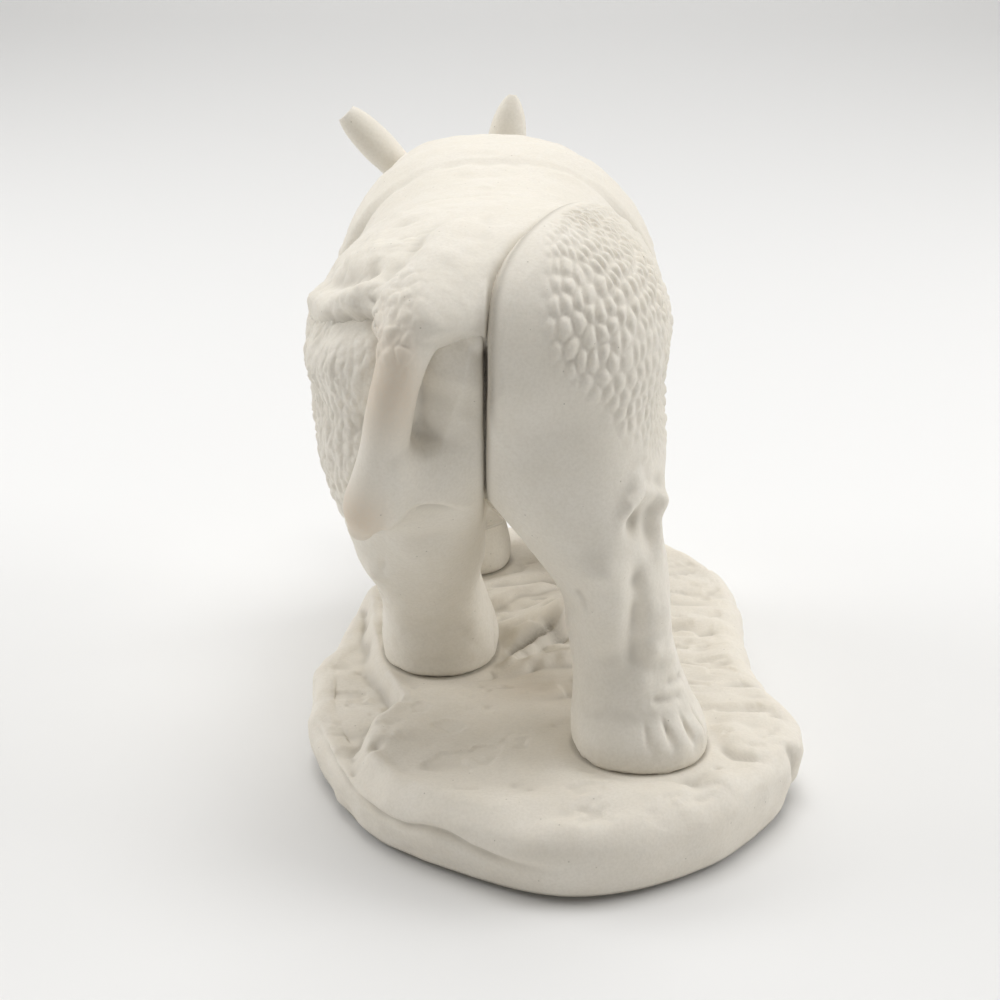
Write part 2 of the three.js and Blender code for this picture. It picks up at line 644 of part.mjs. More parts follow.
// The horn: a bent cone on the nose.
function makeHorn() {
  const [rows, sides] = [9, 16];
  const rings = Array.from({ length: rows }, (_, row) => {
    const t = row / rows;
    const radius = HORN_RADIUS * (1 - t) ** 0.75;
    const lean = -6 * t * t;
    return Array.from({ length: sides }, (_, side) => {
      const turn = (2 * PI * side) / sides;
      return headPoint(57 + lean + 1.15 * radius * cos(turn), radius * sin(turn), -14 + (HORN_HEIGHT + 4) * t);
    });
  });
  return solid(ringsGeometry(rings, headPoint(57, 0, -15), headPoint(51, 0, -14 + HORN_HEIGHT + 4)));
}

// Plinth outline: turn in degrees from +X towards +Y, and the radius to the widest line as a share of an ellipse of
// half sizes 73 and 115 about the plinth's middle.
const PLINTH_OUTLINE = [
  [0, 1.0], [20, 1.03], [42, 1.02], [58, 1.01], [77, 0.975], [92, 1.015], [107, 1.04], [122, 1.08], [140, 1.11],
  [150, 1.07], [160, 0.96], [175, 0.89], [198, 0.9], [212, 0.97], [228, 1.05], [244, 1.06], [268, 1.03], [285, 1.02],
  [305, 0.98], [325, 0.97], [345, 0.95], [360, 1.0],
];

function plinthRadius(turn) {
  const angle = THREE.MathUtils.euclideanModulo(THREE.MathUtils.radToDeg(turn), 360);
  const share = stationCurve(PLINTH_OUTLINE, 1, angle);
  const [a, b] = [cos(turn) / PLINTH_HALF_WIDTH, sin(turn) / PLINTH_HALF_LENGTH];
  return share / sqrt(a * a + b * b);
}

const FOOT_SPOTS = LEG_NAMES.map((name) => {
  const [, outer, inner, rear, front] = LEGS[name].stations[0];
  return { x: (outer + inner) / 2, y: (rear + front) / 2, radius: max(abs(outer - inner), rear - front) / 2 + 1.5 };
});

// The near left slab's edge, left of which lies the lower shelf: place along, and place across.
const SLAB_EDGE = [
  [-120, 60], [-70, 48], [-45, 40], [-20, 38], [8, 33], [24, 29], [34, 26], [41, 30.5], [50, 34], [63, 35.5],
  [70, 36], [76, 33], [86, 28.5], [97, 24.5], [104, 15], [112, 9], [124, 4], [135, -4],
];

// Crests of rock between the feet. Each falls from its start to its end, steep on its near side and gentle beyond.
const ROCK_CRESTS = [
  { start: [-33, -28], end: [-5, 9], rise: ROCK_CREST, steep: 6, gentle: 22 },
  { start: [-33, 1], end: [-1, 19], rise: ROCK_CREST - 2.5, steep: 5, gentle: 10 },
  { start: [-33, 21], end: [-8, 35], rise: ROCK_CREST - 5, steep: 6, gentle: 8 },
];

function crestHeight({ start, end, rise, steep, gentle }, x, y) {
  const [runX, runY] = [end[0] - start[0], end[1] - start[1]];
  const [dx, dy] = [x - start[0], y - start[1]];
  const along = (dx * runX + dy * runY) / (runX * runX + runY * runY);
  const across = (dy * runX - dx * runY) / sqrt(runX * runX + runY * runY);
  const fall = ease(1.08, 0.4, along) * ease(-0.25, 0.1, along);
  return rise * ease(steep, 0, across) * ease(-gentle, 0, across) * fall;
}

// Height of the rock over the walked-on face. It is level under each foot.
function rockHeight(x, y) {
  const drop = SHELF_DROP * ease(-2, 3, x - stationCurve(SLAB_EDGE, 1, y));
  const waves = 0.7 * sin(x / 7 + y / 13) * sin(y / 9 - x / 17);
  let height = waves - drop;
  for (const crest of ROCK_CRESTS) height += crestHeight(crest, x, y);
  for (const spot of FOOT_SPOTS) {
    const away = sqrt((x - spot.x) ** 2 + (y - spot.y) ** 2) - spot.radius;
    height *= ease(0, 9, away);
  }
  return height;
}

function makePlinth() {
  const [sides, topRings] = [72, 19];
  const turns = Array.from({ length: sides }, (_, i) => (2 * PI * i) / sides);
  const ring = (inset, height) =>
    turns.map((turn) => {
      const radius = plinthRadius(turn) - inset;
      const [x, y] = [PLINTH_CENTRE_X + radius * cos(turn), radius * sin(turn)];
      return V(x, y, height(x, y));
    });
  const scaled = (share, drop, inset) =>
    turns.map((turn) => {
      const radius = (plinthRadius(turn) - inset) * share;
      const [x, y] = [PLINTH_CENTRE_X + radius * cos(turn), radius * sin(turn)];
      return V(x, y, drop + rockHeight(x, y));
    });
  const rings = [];
  for (let i = 1; i <= topRings; i += 1) rings.push(scaled(i / topRings, 0, RIM_ROUNDING));
  for (const bend of [30, 60, 85]) {
    const [a, b] = [sin(degrees(bend)), 1 - cos(degrees(bend))];
    rings.push(ring(RIM_ROUNDING * (1 - a), (x, y) => rockHeight(x, y) * (1 - a * 0.6) - RIM_ROUNDING * b));
  }
  const waist = -PLINTH_HEIGHT * 0.7;
  rings.push(ring(PLINTH_UNDERCUT * 0.35, () => waist));
  rings.push(ring(PLINTH_UNDERCUT, () => -PLINTH_HEIGHT));
  rings.push(ring(PLINTH_UNDERCUT + PLINTH_FOOT, () => -PLINTH_HEIGHT));
  rings.push(ring(PLINTH_UNDERCUT + PLINTH_WALL + 3, () => waist));
  const ceiling = -PLINTH_WALL - SHELF_DROP - 1;
  for (const share of [1, 0.66, 0.33]) {
    rings.push(
      turns.map((turn) => {
        const radius = (plinthRadius(turn) - RIM_ROUNDING - PLINTH_WALL - 3) * share;
        return V(PLINTH_CENTRE_X + radius * cos(turn), radius * sin(turn), ceiling);
      }),
    );
  }
  const [topPole, roof] = [V(PLINTH_CENTRE_X, 0, rockHeight(PLINTH_CENTRE_X, 0)), V(PLINTH_CENTRE_X, 0, ceiling)];
  return solid(ringsGeometry(rings, topPole, roof));
}

// Assembly
const EARS = {
  ear_left: {
    root: headPoint(2.4, 15.3, -3.2),
    tip: headPoint(-7, 37.1, 19.6),
    facing: headDirection(0.5, 0.3, 0.7),
    flatness: 0.86,
    widths: [[0, 5.6], [0.3, 5.4], [0.55, 5.9], [0.8, 5.4], [0.94, 4.3], [1, 3.3]],
  },
  ear_right: {
    root: headPoint(2.8, -17.9, -1.7),
    tip: headPoint(-11.9, -21.8, 20.4),
    facing: headDirection(0.6, -0.3, 0.7),
    flatness: 0.75,
    widths: [[0, 6], [0.3, 6.9], [0.55, 6.3], [0.78, 4.8], [0.93, 3.4], [1, 2.6]],
  },
};

const castings = { plinth: makePlinth(), body: makeBody(), head: makeHead() };
for (const name of LEG_NAMES) castings[name] = makeLeg(name);
castings.horn = largest(makeHorn().subtract(headCutter));
for (const [name, { root, tip, facing, flatness, widths }] of Object.entries(EARS)) {
  const ear = makeEar(root, tip, facing, flatness, widths);
  castings[name] = largest(ear.subtract(headCutter).subtract(bodyCutter));
}
castings.tail = castSkin(tailField, TAIL_SPINE, 0, TAIL_GRID).subtract(bodyCutter);
for (const name of LEG_NAMES.filter((leg) => leg.includes('hind'))) {
  const thighCutter = castSkin(legField(name), legSpine(LEGS[name]), SEAM, HIND_LEG_GRID);
  castings.tail = largest(castings.tail.subtract(thighCutter));
}

const figure = new THREE.Group();
for (const [name, casting] of Object.entries(castings)) {
  const bisque = new THREE.MeshStandardMaterial({ color: 0xe9e5dc, roughness: 0.75, metalness: 0 });
  const mesh = new THREE.Mesh(shape(casting), bisque);
  mesh.name = name;
  figure.add(mesh);
}

// The part's origin is the middle of its box, on the table.
const box = new THREE.Box3().setFromObject(figure);
const middle = box.getCenter(V(0, 0, 0));
figure.position.set(-middle.x, -middle.y, -box.min.z);

export default figure;
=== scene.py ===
"""A biscuit porcelain figure of a one-horned rhinoceros on a rock plinth, seen from behind.

Lengths are in millimetres in the animal's own frame: x = 0 is its middle plane, z = 0 is the walked-on face
of the plinth, it looks along -Y and its left side is +X. Each casting is a field, a number that is negative
inside the clay and about the distance to its surface outside. Rays that leave a spine inside the casting find
that surface, so a casting's skin is a function of two parameters: the row along the spine, and the turn about
it.
"""

from __future__ import annotations

import logging
from abc import ABC, abstractmethod
from dataclasses import dataclass, field
from enum import Enum
from typing import Callable, Iterator, NamedTuple

import bpy
import numpy as np
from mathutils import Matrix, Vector


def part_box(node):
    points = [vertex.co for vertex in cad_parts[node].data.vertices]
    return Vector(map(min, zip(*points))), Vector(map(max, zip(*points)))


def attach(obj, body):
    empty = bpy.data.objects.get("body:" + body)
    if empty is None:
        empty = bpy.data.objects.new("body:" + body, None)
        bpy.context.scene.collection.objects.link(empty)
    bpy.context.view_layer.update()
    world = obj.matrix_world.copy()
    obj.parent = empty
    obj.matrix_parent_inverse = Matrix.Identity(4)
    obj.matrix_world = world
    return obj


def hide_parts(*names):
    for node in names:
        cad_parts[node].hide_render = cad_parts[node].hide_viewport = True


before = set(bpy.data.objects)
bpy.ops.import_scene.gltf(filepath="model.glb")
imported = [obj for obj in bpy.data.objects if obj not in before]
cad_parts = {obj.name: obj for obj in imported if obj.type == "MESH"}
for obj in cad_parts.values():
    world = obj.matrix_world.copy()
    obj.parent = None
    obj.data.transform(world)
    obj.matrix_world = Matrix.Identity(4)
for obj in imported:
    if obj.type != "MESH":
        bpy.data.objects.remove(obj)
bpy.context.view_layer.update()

Array = np.ndarray
Place = tuple[float, float, float]
Colour = tuple[float, float, float, float]
Field = Callable[["Points"], Array]
Marks = tuple["Lump | Crease", ...]
Value = "Wire | Colour | float"
log = logging.getLogger("rhinoceros")

METRES = 0.001
TINY = 1e-6
FAR = 1e3
PLINTH_HEIGHT = 24.0
PLINTH_BOX_MIDDLE = (-18.8, -1.05)  # middle of the plinth's box in the animal's frame


class Points(NamedTuple):
    """Places in the animal's frame, as three arrays of one shape."""

    x: Array
    y: Array
    z: Array

    def moved(self, dx: float, dy: float, dz: float) -> "Points":
        """The same places counted from (dx, dy, dz)."""
        return Points(self.x - dx, self.y - dy, self.z - dz)


def ease(low: float, high: float, t: Array) -> Array:
    """A soft step from 0 at low to 1 at high: 3u² − 2u³. low may be the larger of the two."""
    u = np.clip((t - low) / (high - low), 0.0, 1.0)
    return u * u * (3.0 - 2.0 * u)


def ridge(t: Array, width: float) -> Array:
    """A bell curve along t: e to the minus (t over width) squared."""
    return np.exp(-((t / width) ** 2))


def fillet(a: Array, b: Array, k: float | Array) -> Array:
    """What a smooth join takes off its fields: k/4 · (1 − |a − b|/k)², where they are within k."""
    return k / 4.0 * np.maximum(0.0, 1.0 - np.abs(a - b) / k) ** 2


def join(a: Array, b: Array, k: float | Array) -> Array:
    """Both forms as one, with the corner between them filled over a width k."""
    return np.minimum(a, b) - fillet(a, b, k)


def meet(own: Array, other: Array, k: float | Array) -> Array:
    """A form as it meets a neighbour that it melts into: their smooth join, sunk where that one is nearer.

    Args:
        own: Field of the form by itself.
        other: Field of the neighbour by itself.
        k: Width over which the corner between them is filled.

    Returns:
        The join, less (own − other)²/k on the neighbour's side, so that the skins cross without a kink.
    """
    return join(own, other, k) + np.maximum(0.0, own - other) ** 2 / k


def trim(a: Array, b: Array, k: float | Array) -> Array:
    """What lies inside both forms, with the edge rounded over a width k."""
    return np.maximum(a, b) + fillet(a, b, k)


def table(*rows: list[float]) -> Array:
    """A dataclass field that holds rows of numbers."""
    return field(default_factory=lambda: np.array(rows, dtype=float))


def through(stations: Array, t: Array) -> Array:
    """A smooth curve through rows of stations, whose first column is the place.

    Args:
        stations: Rows of (place, value, value, ...), with rising places.
        t: Where to read the curve.

    Returns:
        The values at t, with the columns first. Between two rows each is the cubic with the rows' own slopes,
        and a row's slope is that of the line from the row before to the row after.
    """
    place, value = stations[:, 0], stations[:, 1:]
    last = len(place) - 1
    before, after = np.maximum(np.arange(last + 1) - 1, 0), np.minimum(np.arange(last + 1) + 1, last)
    slope = (value[after] - value[before]) / (place[after] - place[before])[:, None]
    i = np.clip(np.searchsorted(place, t, side="right") - 1, 0, last - 1)
    span = place[i + 1] - place[i]
    u = np.clip((t - place[i]) / span, 0.0, 1.0)[..., None]
    a, b = slope[i] * span[..., None], slope[i + 1] * span[..., None]
    start, step = value[i], value[i + 1] - value[i]
    curve = start + u * a + u * u * (3.0 * step - 2.0 * a - b) + u**3 * (a + b - 2.0 * step)
    return np.moveaxis(curve, -1, 0)


def to_segment(p: Points, start: Array, end: Array) -> tuple[Array, Array]:
    """Share of a segment at which each place is nearest to it, and the squared distance there."""
    q, step = p.moved(*start), end - start
    t = np.clip((q.x * step[0] + q.y * step[1] + q.z * step[2]) / (step @ step), 0.0, 1.0)
    return t, (q.x - step[0] * t) ** 2 + (q.y - step[1] * t) ** 2 + (q.z - step[2] * t) ** 2


def egg(p: Points, a: float, b: float, c: float) -> Array:
    """An egg of half sizes a, b, c: the distance to it along the line from its middle, r · (1 − 1/n)."""
    n = np.sqrt((p.x / a) ** 2 + (p.y / b) ** 2 + (p.z / c) ** 2) + TINY
    return np.sqrt(p.x**2 + p.y**2 + p.z**2) * (1.0 - 1.0 / n)


def loft(across: Array, along: Array, share: Array, length: Array | float, half: tuple[Array, Array],
         power: Array) -> Array:
    """The distance to a rounded box drawn along a line: |across/a|^n + |along/b|^n + share^n = 1."""
    total = np.abs(across / half[0]) ** power + np.abs(along / half[1]) ** power + share**power
    n = total ** (1.0 / power) + TINY
    return np.sqrt(across**2 + along**2 + (share * length) ** 2) * (1.0 - 1.0 / n)


def dice(i: Array, j: Array, k: Array, seed: int) -> Array:
    """A number from 0 to 1 for each cell (i, j, k), scrambled from its address by large odd factors."""
    n = i.astype(np.int64) * 73856093 ^ j.astype(np.int64) * 19349663 ^ k.astype(np.int64) * 83492791
    n = (n ^ seed * 2654435761) & 0xFFFFFFFF
    n = ((n ^ (n >> 15)) * 2246822519) & 0xFFFFFFFF
    n = ((n ^ (n >> 13)) * 3266489917) & 0xFFFFFFFF
    return (n ^ (n >> 16)) / 4294967295.0


def swell(p: Points, size: float, seed: int) -> Array:
    """Soft swells from -1 to 1: random heights at the corners of equal cells, blended by a soft step."""
    cell = [np.floor(axis / size) for axis in p]
    u = [ease(0.0, 1.0, axis / size - corner) for axis, corner in zip(p, cell)]
    total = np.zeros_like(p.x)
    for corner in np.ndindex(2, 2, 2):
        share = np.prod([t if c else 1.0 - t for t, c in zip(u, corner)], axis=0)
        total += share * dice(cell[0] + corner[0], cell[1] + corner[1], cell[2] + corner[2], seed)
    return 2.0 * total - 1.0


def swells(p: Points, size: float, seed: int, layers: int = 3) -> Array:
    """Swells on swells: each layer is half as large and half as high as the one before."""
    return sum(swell(p, size / 2**n, seed + 17 * n) / 2**n for n in range(layers))


def near_cells(p: Points, size: float, seed: int, margin: float) -> Iterator[tuple[list[Array], Array]]:
    """The 27 cells round each place, each with one middle scattered in it.

    Args:
        p: Places.
        size: Side of a cell.
        seed: Which random layout.
        margin: What a middle keeps clear of its cell's sides, as a share of the side.

    Yields:
        The address of a cell, and the squared distance from each place to its middle, in cells.
    """
    cell = [np.floor(axis / size) for axis in p]
    room = 1.0 - 2.0 * margin
    for step in np.ndindex(3, 3, 3):
        address = [corner + move - 1 for corner, move in zip(cell, step)]
        middle = (n + margin + room * dice(*address, seed + number) for number, n in enumerate(address))
        yield address, sum((axis / size - place) ** 2 for axis, place in zip(p, middle))


def pebbles(p: Points, size: float, seed: int) -> Array:
    """Round knobs, one to a cell: each is a dome 1 − (distance/radius)² whose height follows its radius.

    Args:
        p: Places, stretched beforehand where the knobs are to be oval.
        size: Distance between knobs.
        seed: Which random layout.

    Returns:
        Height from 0 between the knobs to 1 on the largest.
    """
    least, most = 0.35, 0.6
    height = np.zeros_like(p.x)
    for address, squared in near_cells(p, size, seed, 0.26):
        radius = least + (most - least) * dice(*address, seed + 7)
        height = np.maximum(height, radius / most * (1.0 - squared / radius**2))
    return height


def knobs(u: Array, v: Array, seed: int) -> Array:
    """Round knobs side by side on a sheet, one to a cell of side 1, with every other row set off by half.

    Args:
        u: Place along the sheet, in cells.
        v: Place across it.
        seed: Which random layout.

    Returns:
        Height from 0 in the furrows to about 1 on a knob, as for cobbles.
    """
    i, j = np.floor(u), np.floor(v)
    first, second = np.full_like(u, FAR), np.full_like(u, FAR)
    for a, b in np.ndindex(3, 3):
        m, n = i + a - 1, j + b - 1
        middle_u = m + 0.5 * (n % 2) + 0.12 + 0.76 * dice(m, n, m, seed)
        middle_v = n + 0.2 + 0.6 * dice(m, n, n, seed + 1)
        away = np.hypot(u - middle_u, v - middle_v)
        second = np.where(away < first, first, np.minimum(second, away))
        first = np.minimum(first, away)
    return ease(-0.1, 0.7, second - first) * (1.0 - 0.8 * np.minimum(first, 1.0) ** 2)


def cobbles(p: Points, size: float, seed: int) -> Array:
    """Knobs that touch each other, one to a cell, parted by narrow furrows.

    Args:
        p: Places, stretched beforehand where the knobs are to be oval.
        size: Distance between knobs.
        seed: Which random layout.

    Returns:
        Height from 0 in the furrows to about 1 on a knob. It follows how much nearer the nearest middle
        is than the second nearest, with a dome over each knob.
    """
    first, second = np.full_like(p.x, FAR), np.full_like(p.x, FAR)
    for _, squared in near_cells(p, size, seed, 0.18):
        away = np.sqrt(squared)
        second = np.where(away < first, first, np.minimum(second, away))
        first = np.minimum(first, away)
    return ease(0.0, 0.34, second - first) * (1.0 - 0.55 * np.minimum(first, 1.0) ** 2)


@dataclass(frozen=True)
class Lump:
    """A soft lump, or with a negative height a dimple, worked into the hide."""

    at: Place
    radius: Place
    height: float

    def on(self, p: Points) -> Array:
        """Height of the lump at each place: a bell curve of its three radii."""
        q = p.moved(*self.at)
        a, b, c = self.radius
        return self.height * np.exp(-((q.x / a) ** 2 + (q.y / b) ** 2 + (q.z / c) ** 2))


@dataclass(frozen=True)
class Crease:
    """A line pressed into the hide, or with a negative depth a raised fold, through a few points."""

    points: tuple[Place, ...]
    width: float
    depth: float

    def on(self, p: Points) -> Array:
        """Height that the crease adds: minus its depth times a bell curve of the distance to it, tapered."""
        nearest = np.full_like(p.x, FAR**2)
        share = np.zeros_like(p.x)
        for n, (start, end) in enumerate(zip(self.points, self.points[1:])):
            t, squared = to_segment(p, np.array(start), np.array(end))
            share = np.where(squared < nearest, (n + t) / (len(self.points) - 1), share)
            nearest = np.minimum(nearest, squared)
        taper = ease(0.0, 0.22, share) * ease(1.0, 0.78, share)
        return -self.depth * (0.25 + 0.75 * taper) * np.exp(-nearest / self.width**2)


def worked(p: Points, marks: Marks) -> Array:
    """The sum of the heights of many marks."""
    return sum((mark.on(p) for mark in marks), np.zeros_like(p.x))


@dataclass(frozen=True)
class Grid:
    """How finely a skin is cast: rows along the spine, rows that fan over each end, and points to a row."""

    rows: int
    first_fan: int
    last_fan: int
    sides: int
    reach: float = 120.0
    focus: float = 0.0
    bias: float = 0.0

    def turns(self) -> Array:
        """Turns of the rays, closer together by the bias round the focus, a turn in degrees."""
        even = np.linspace(0.0, 2.0 * np.pi, self.sides, endpoint=False)
        return even - self.bias * np.sin(even - np.radians(self.focus))


@dataclass(frozen=True)
class Skin:
    """A cast skin: places as rows by sides, and the two poles that close it."""

    rows: Points
    poles: Points

    def mesh(self, name: str, shift: Array) -> bpy.types.Mesh:
        """The skin as a closed mesh in metres in the part's frame, with its faces turned outwards.

        Args:
            name: Name of the mesh.
            shift: Place of the animal's frame in the part's frame, in millimetres.

        Returns:
            The mesh: quads between rows, and triangles at the poles.
        """
        count, sides = self.rows.x.shape
        places = np.stack([axis.reshape(-1) for axis in self.rows], axis=1)
        places = np.concatenate([places, np.stack(self.poles, axis=1)])
        grid = np.arange(count * sides).reshape(count, sides)
        onward = np.roll(grid, -1, axis=1)
        quads = np.stack([grid[:-1], onward[:-1], onward[1:], grid[1:]], axis=-1).reshape(-1, 4)
        first = np.stack([onward[0], grid[0], np.full(sides, count * sides)], axis=-1)
        last = np.stack([grid[-1], onward[-1], np.full(sides, count * sides + 1)], axis=-1)
        ends = np.concatenate([first, last])
        a, b, c, d = (places[quads[:, n]] for n in range(4))
        volume = np.einsum("ij,ij->", a, np.cross(b, c)) + np.einsum("ij,ij->", a, np.cross(c, d))
        if volume < 0:
            quads, ends = quads[:, ::-1], ends[:, ::-1]
        corners = np.concatenate([quads.reshape(-1), ends.reshape(-1)]).astype(np.int32)
        sizes = np.concatenate([np.full(len(quads), 4), np.full(len(ends), 3)]).astype(np.int32)
        starts = np.concatenate([[0], np.cumsum(sizes)[:-1]]).astype(np.int32)
        mesh = bpy.data.meshes.new(name)
        mesh.vertices.add(len(places))
        mesh.vertices.foreach_set("co", ((places + shift) * METRES).astype(np.float32).reshape(-1))
        mesh.loops.add(len(corners))
        mesh.loops.foreach_set("vertex_index", corners)
        mesh.polygons.add(len(sizes))
        mesh.polygons.foreach_set("loop_start", starts)
        mesh.polygons.foreach_set("use_smooth", np.ones(len(sizes), dtype=bool))
        mesh.update(calc_edges=True)
        return mesh


TURN_ZERO = np.array([1.0, 0.0, 0.0])
MOST_RELIEF = 9.0


def cast(form: Field, relief: Field, spine: Array, grid: Grid) -> Skin:
    """Casts rays square to a spine, and fans them over its two ends, to find the surface of a casting.

    Args:
        form: The casting's field.
        relief: How far the worked surface stands off the form at each place on it.
        spine: Points of the spine, inside the casting.
        grid: How finely to cast.

    Returns:
        The skin. Each ray halves its length until it meets the surface, first that of the form, and then that
        of the form with the relief read where the ray met it.
    """
    length = np.concatenate([[0.0], np.cumsum(np.linalg.norm(np.diff(spine, axis=0), axis=1))])
    line = np.column_stack([length / length[-1], spine])
    quarter = 0.5 * np.pi
    fans = (grid.first_fan, grid.last_fan)
    first, last = (np.linspace(0.0, quarter, fan + 1, endpoint=False)[1:] for fan in fans)
    tilt = np.concatenate([[-quarter], -first[::-1], np.zeros(grid.rows), last, [quarter]])
    along = np.linspace(0.0, 1.0, grid.rows)
    share = np.concatenate([np.zeros(len(first) + 1), along, np.ones(len(last) + 1)])
    origin = through(line, share).T
    step = 1e-3
    tangent = (through(line, np.minimum(share + step, 1.0)) - through(line, np.maximum(share - step, 0.0))).T
    tangent /= np.linalg.norm(tangent, axis=1, keepdims=True)
    across = TURN_ZERO - tangent * (tangent @ TURN_ZERO)[:, None]
    across /= np.linalg.norm(across, axis=1, keepdims=True)
    beside = np.cross(tangent, across)
    turn = grid.turns()
    flat = np.cos(turn)[None, :, None] * across[:, None] + np.sin(turn)[None, :, None] * beside[:, None]
    ray = flat * np.cos(tilt)[:, None, None] + tangent[:, None] * np.sin(tilt)[:, None, None]

    def at(distance: Array) -> Points:
        """Places along the rays."""
        return Points(*np.moveaxis(origin[:, None] + ray * distance[..., None], -1, 0))

    def leave(low: Array, high: Array, level: Array | float, halvings: int) -> Array:
        """Where the rays leave the level of the form, between two distances."""
        for _ in range(halvings):
            middle = 0.5 * (low + high)
            inside = form(at(middle)) < level
            low, high = np.where(inside, middle, low), np.where(inside, high, middle)
        return 0.5 * (low + high)

    zero = np.zeros(ray.shape[:2])
    found = leave(zero, zero + grid.reach, 0.0, 20)
    found = leave(np.maximum(found - MOST_RELIEF, 0.0), found + MOST_RELIEF, relief(at(found)), 15)
    place = at(found)
    return Skin(Points(*(axis[1:-1] for axis in place)), Points(*(axis[[0, -1], 0] for axis in place)))


def hollows(skin: Skin, reach: int = 6) -> Array:
    """How deep each point of a skin lies under its neighbours, in millimetres.

    The places are averaged over a window of rows and sides, and the distance to that average is counted where
    it points outwards from the skin.
    """
    place = np.stack(skin.rows, axis=-1)
    mean = place
    steps = range(-reach, reach + 1)
    rows, sides = (np.arange(count) for count in place.shape[:2])
    mean = sum(mean[np.clip(rows + step, 0, len(rows) - 1)] for step in steps) / len(steps)
    mean = sum(mean[:, (sides + step) % len(sides)] for step in steps) / len(steps)
    around = np.roll(place, -1, axis=1) - np.roll(place, 1, axis=1)
    normal = np.cross(around, np.gradient(place, axis=0))
    normal /= np.linalg.norm(normal, axis=-1, keepdims=True) + TINY
    if np.sum(normal * (place - place.mean(axis=(0, 1)))) < 0:
        normal = -normal
    return np.sum((mean - place) * normal, axis=-1)


def operator(operation: str, reflected: bool = False) -> Callable[["Wire", Value], "Wire"]:
    """An operator of a wire, or its reflected form, which has the wire on the right."""

    def work(wire: "Wire", other: Value) -> "Wire":
        """The wire that the operation's node gives."""
        sides = (other, wire) if reflected else (wire, other)
        return wire.recipe.worked_out(operation, *sides)

    return work


class Wire:
    """A socket in a finish's shading maths. Operators on it add the nodes that work them out."""

    def __init__(self, recipe: "Recipe", socket: bpy.types.NodeSocket) -> None:
        """Wraps one output socket of a recipe's node."""
        self.recipe = recipe
        self.socket = socket

    __add__, __radd__ = operator("ADD"), operator("ADD", reflected=True)
    __sub__, __rsub__ = operator("SUBTRACT"), operator("SUBTRACT", reflected=True)
    __mul__, __rmul__ = operator("MULTIPLY"), operator("MULTIPLY", reflected=True)

    def mixed(self, one: Value, other: Value) -> "Wire":
        """A colour that goes from one to other as this wire goes from 0 to 1."""
        return self.recipe.mix("MIX", self, one, other)


class Recipe:
    """A material that is being put together from nodes."""

    def __init__(self, name: str) -> None:
        """Starts an empty material."""
        self.material = bpy.data.materials.new(name)
        self.material.use_nodes = True
        self.tree = self.material.node_tree
        self.tree.nodes.clear()

    def node(self, kind: str, settings: dict[str, object], inputs: dict[int | str, object],
             output: int | str = 0) -> Wire:
        """Adds one node.

        Args:
            kind: Blender's name for the node's type.
            settings: Properties, which are set before the sockets.
            inputs: Sockets by number or name, each with a number, a colour or a wire.
            output: The socket that the wire wraps.

        Returns:
            The wire of the output socket.
        """
        node = self.tree.nodes.new(kind)
        for key, value in settings.items():
            setattr(node, key, value)
        for key, value in inputs.items():
            socket = node.inputs[key]
            if isinstance(value, Wire):
                self.tree.links.new(value.socket, socket)
            elif socket.type == "RGBA" and isinstance(value, float):
                socket.default_value = (value, value, value, 1.0)
            else:
                socket.default_value = value
        return Wire(self, node.outputs[output])

    def mix(self, blend: str, share: Wire | float, one: Value, other: Value) -> Wire:
        """Two colours blended in one of Blender's ways."""
        settings = {"data_type": "RGBA", "blend_type": blend, "clamp_factor": True}
        return self.node("ShaderNodeMix", settings, {0: share, 6: one, 7: other}, output=2)

    def worked_out(self, operation: str, first: Value, second: Value) -> Wire:
        """A mix where either side is a colour, vector maths where either is a vector, or else maths."""
        kinds = [side.socket.type for side in (first, second) if isinstance(side, Wire)]
        if "RGBA" in kinds or isinstance(first, tuple) or isinstance(second, tuple):
            return self.mix(operation, 1.0, first, second)
        kind = "ShaderNodeVectorMath" if "VECTOR" in kinds else "ShaderNodeMath"
        return self.node(kind, {"operation": operation}, {0: first, 1: second})

    def place(self) -> Wire:
        """Object coordinates, in metres."""
        return self.node("ShaderNodeTexCoord", {}, {}, output="Object")

    def mark(self, name: str) -> Wire:
        """A number that the mesh holds at each point."""
        return self.node("ShaderNodeAttribute", {"attribute_name": name}, {}, output="Fac")

    def noise(self, place: Wire, size: float, detail: float = 3.0) -> Wire:
        """Noise from 0 to 1 whose features are about size millimetres."""
        inputs = {"Vector": place, "Scale": 1.0 / (size * METRES), "Detail": detail, "Roughness": 0.55}
        return self.node("ShaderNodeTexNoise", {}, inputs)

    def dots(self, place: Wire, size: float) -> Wire:
        """Distance to the nearest of many scattered points, in cells of size millimetres."""
        return self.node("ShaderNodeTexVoronoi", {}, {"Vector": place, "Scale": 1.0 / (size * METRES)})

    def step(self, value: Wire, low: float, high: float) -> Wire:
        """A straight step from 0 where the value is low to 1 where it is high. low may be the larger."""
        return self.node("ShaderNodeMapRange", {}, {0: value, 1: low, 2: high})

    def finish(self, surface: Wire) -> bpy.types.Material:
        """Joins the surface to the material's output."""
        output = self.tree.nodes.new("ShaderNodeOutputMaterial")
        self.tree.links.new(surface.socket, output.inputs["Surface"])
        return self.material


